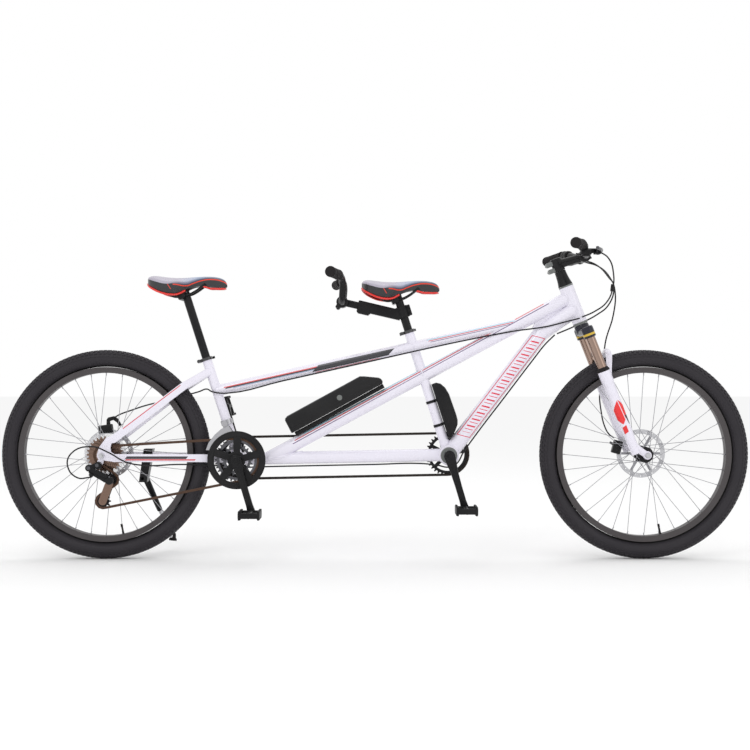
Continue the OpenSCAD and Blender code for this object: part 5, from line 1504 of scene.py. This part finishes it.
def down_paint(g, place, color):
    """A long outlined panel that leans with the tube, filled with a row of slanted strokes."""
    u, v = along(g, place, xz(front_crank), xz(lower_d))
    slant = g.math("ADD", u, g.math("MULTIPLY", v, 0.42))
    outer = g.math("MULTIPLY", g.group(BAND, Value=slant, Low=0.078, High=0.484).outputs[0],
                   g.group(BAND, Value=v, Low=-0.0205, High=0.0205).outputs[0])
    hole = g.math("MULTIPLY", g.group(BAND, Value=slant, Low=0.0806, High=0.4814).outputs[0],
                  g.group(BAND, Value=v, Low=-0.0182, High=0.0182).outputs[0])
    step = g.math("FRACT", g.math("DIVIDE", slant, 0.0264))
    strokes = g.math("ADD", g.math("LESS_THAN", step, 0.10),
                     g.group(BAND, Value=step, Low=0.42, High=0.62).outputs[0])
    row = g.math("MULTIPLY", g.math("MULTIPLY", strokes, g.group(BAND, Value=slant, Low=0.094,
        High=0.470).outputs[0]),
                 g.group(BAND, Value=v, Low=-0.0125, High=0.0125).outputs[0])
    return g.mix(g.math("MAXIMUM", g.math("SUBTRACT", outer, hole), row), color, rgb(0.70, 0.01, 0.05))


finish_node("down_tube", finish("down_white", WHITE, 0.26, coat=0.5, bump=0.02, dust=0.05,
                                paint=down_paint))
stay_a, stay_b = rear_crank + Vector((-0.110, 0, 0.005)), rear_axle + Vector((0.040, 0, -0.008))


def stay_paint(g, place, color):
    d = (stay_b - stay_a).normalized()
    u, v = along(g, place, xz(stay_b), (-d.x, -d.z))         # from the rear end forwards
    low = g.math("LESS_THAN", g.split(place)[2], 0.350)
    out = color
    for u0, u1, v0_, v1_, ink in ((36, 230, -2.5, 6.0, INK), (40, 262, -7.5, -3.2, RED)):
        slant = g.math("ADD", u, g.math("MULTIPLY", v, -0.8))
        m = g.math("MULTIPLY", g.group(BAND, Value=slant, Low=u0 * MM, High=u1 * MM).outputs[0],
                   g.group(BAND, Value=v, Low=v0_ * MM, High=v1_ * MM).outputs[0])
        out = g.mix(g.math("MULTIPLY", m, low), out, ink)
    top = rear_crank + seat_up * 0.296 + Vector((-0.082, 0, -0.044))
    run = rear_axle + Vector((0.038, 0, 0.053)) - top
    run.normalize()
    u, v = along(g, place, xz(top), (run.x, run.z))
    line = g.math("MULTIPLY", g.group(BAND, Value=u, Low=0.006, High=0.235).outputs[0],
                  g.group(BAND, Value=v, Low=-0.0098, High=-0.0070).outputs[0])
    return g.mix(g.math("MULTIPLY", line, g.math("GREATER_THAN", g.split(place)[2], 0.385)), out, RED)


finish_node("rear_stays", finish("stay_white", WHITE, 0.26, coat=0.5, bump=0.02, dust=0.05,
                                 paint=stay_paint))

# ------------------------------------------------------------ floor, light, camera
clear()
bpy.ops.mesh.primitive_plane_add(size=60, location=(0, 0, 0))
floor = bpy.context.object
floor.name = "floor"
floor.data.materials.append(finish("floor_paper", rgb(0.93, 0.93, 0.93), 0.9, bump=0.0, dust=0.0,
                                   specular=0.0))
world = bpy.data.worlds.new("studio")
bpy.context.scene.world = world
world.use_nodes = True
world.node_tree.nodes["Background"].inputs[0].default_value = (1, 1, 1, 1)
world.node_tree.nodes["Background"].inputs[1].default_value = 1.0


def lamp(name, at, target, size, power):
    data = bpy.data.lights.new(name, "AREA")
    data.shape, data.size, data.energy = "SQUARE", size, power
    o = bpy.data.objects.new(name, data)
    bpy.context.collection.objects.link(o)
    o.location = at
    o.rotation_euler = (Vector(target) - Vector(at)).to_track_quat("-Z", "Y").to_euler()


lamp("key", (-1.5, -3.6, 3.4), (0, 0, 0.5), 1.6, 22)
lamp("fill", (3.0, -2.4, 1.6), (0.2, 0, 0.5), 1.6, 6)
lamp("top", (0, 1.2, 3.6), (0, 0, 0.5), 2.0, 14)
cam = bpy.data.cameras.new("camera")
cam.lens, cam.sensor_width = 58.7, 36
camera = bpy.data.objects.new("camera", cam)
bpy.context.collection.objects.link(camera)
camera.location = (0, -4.0, 0.6)
camera.rotation_euler = (pi / 2, 0, 0)
bpy.context.scene.camera = camera
bpy.context.scene.view_settings.view_transform = "Standard"
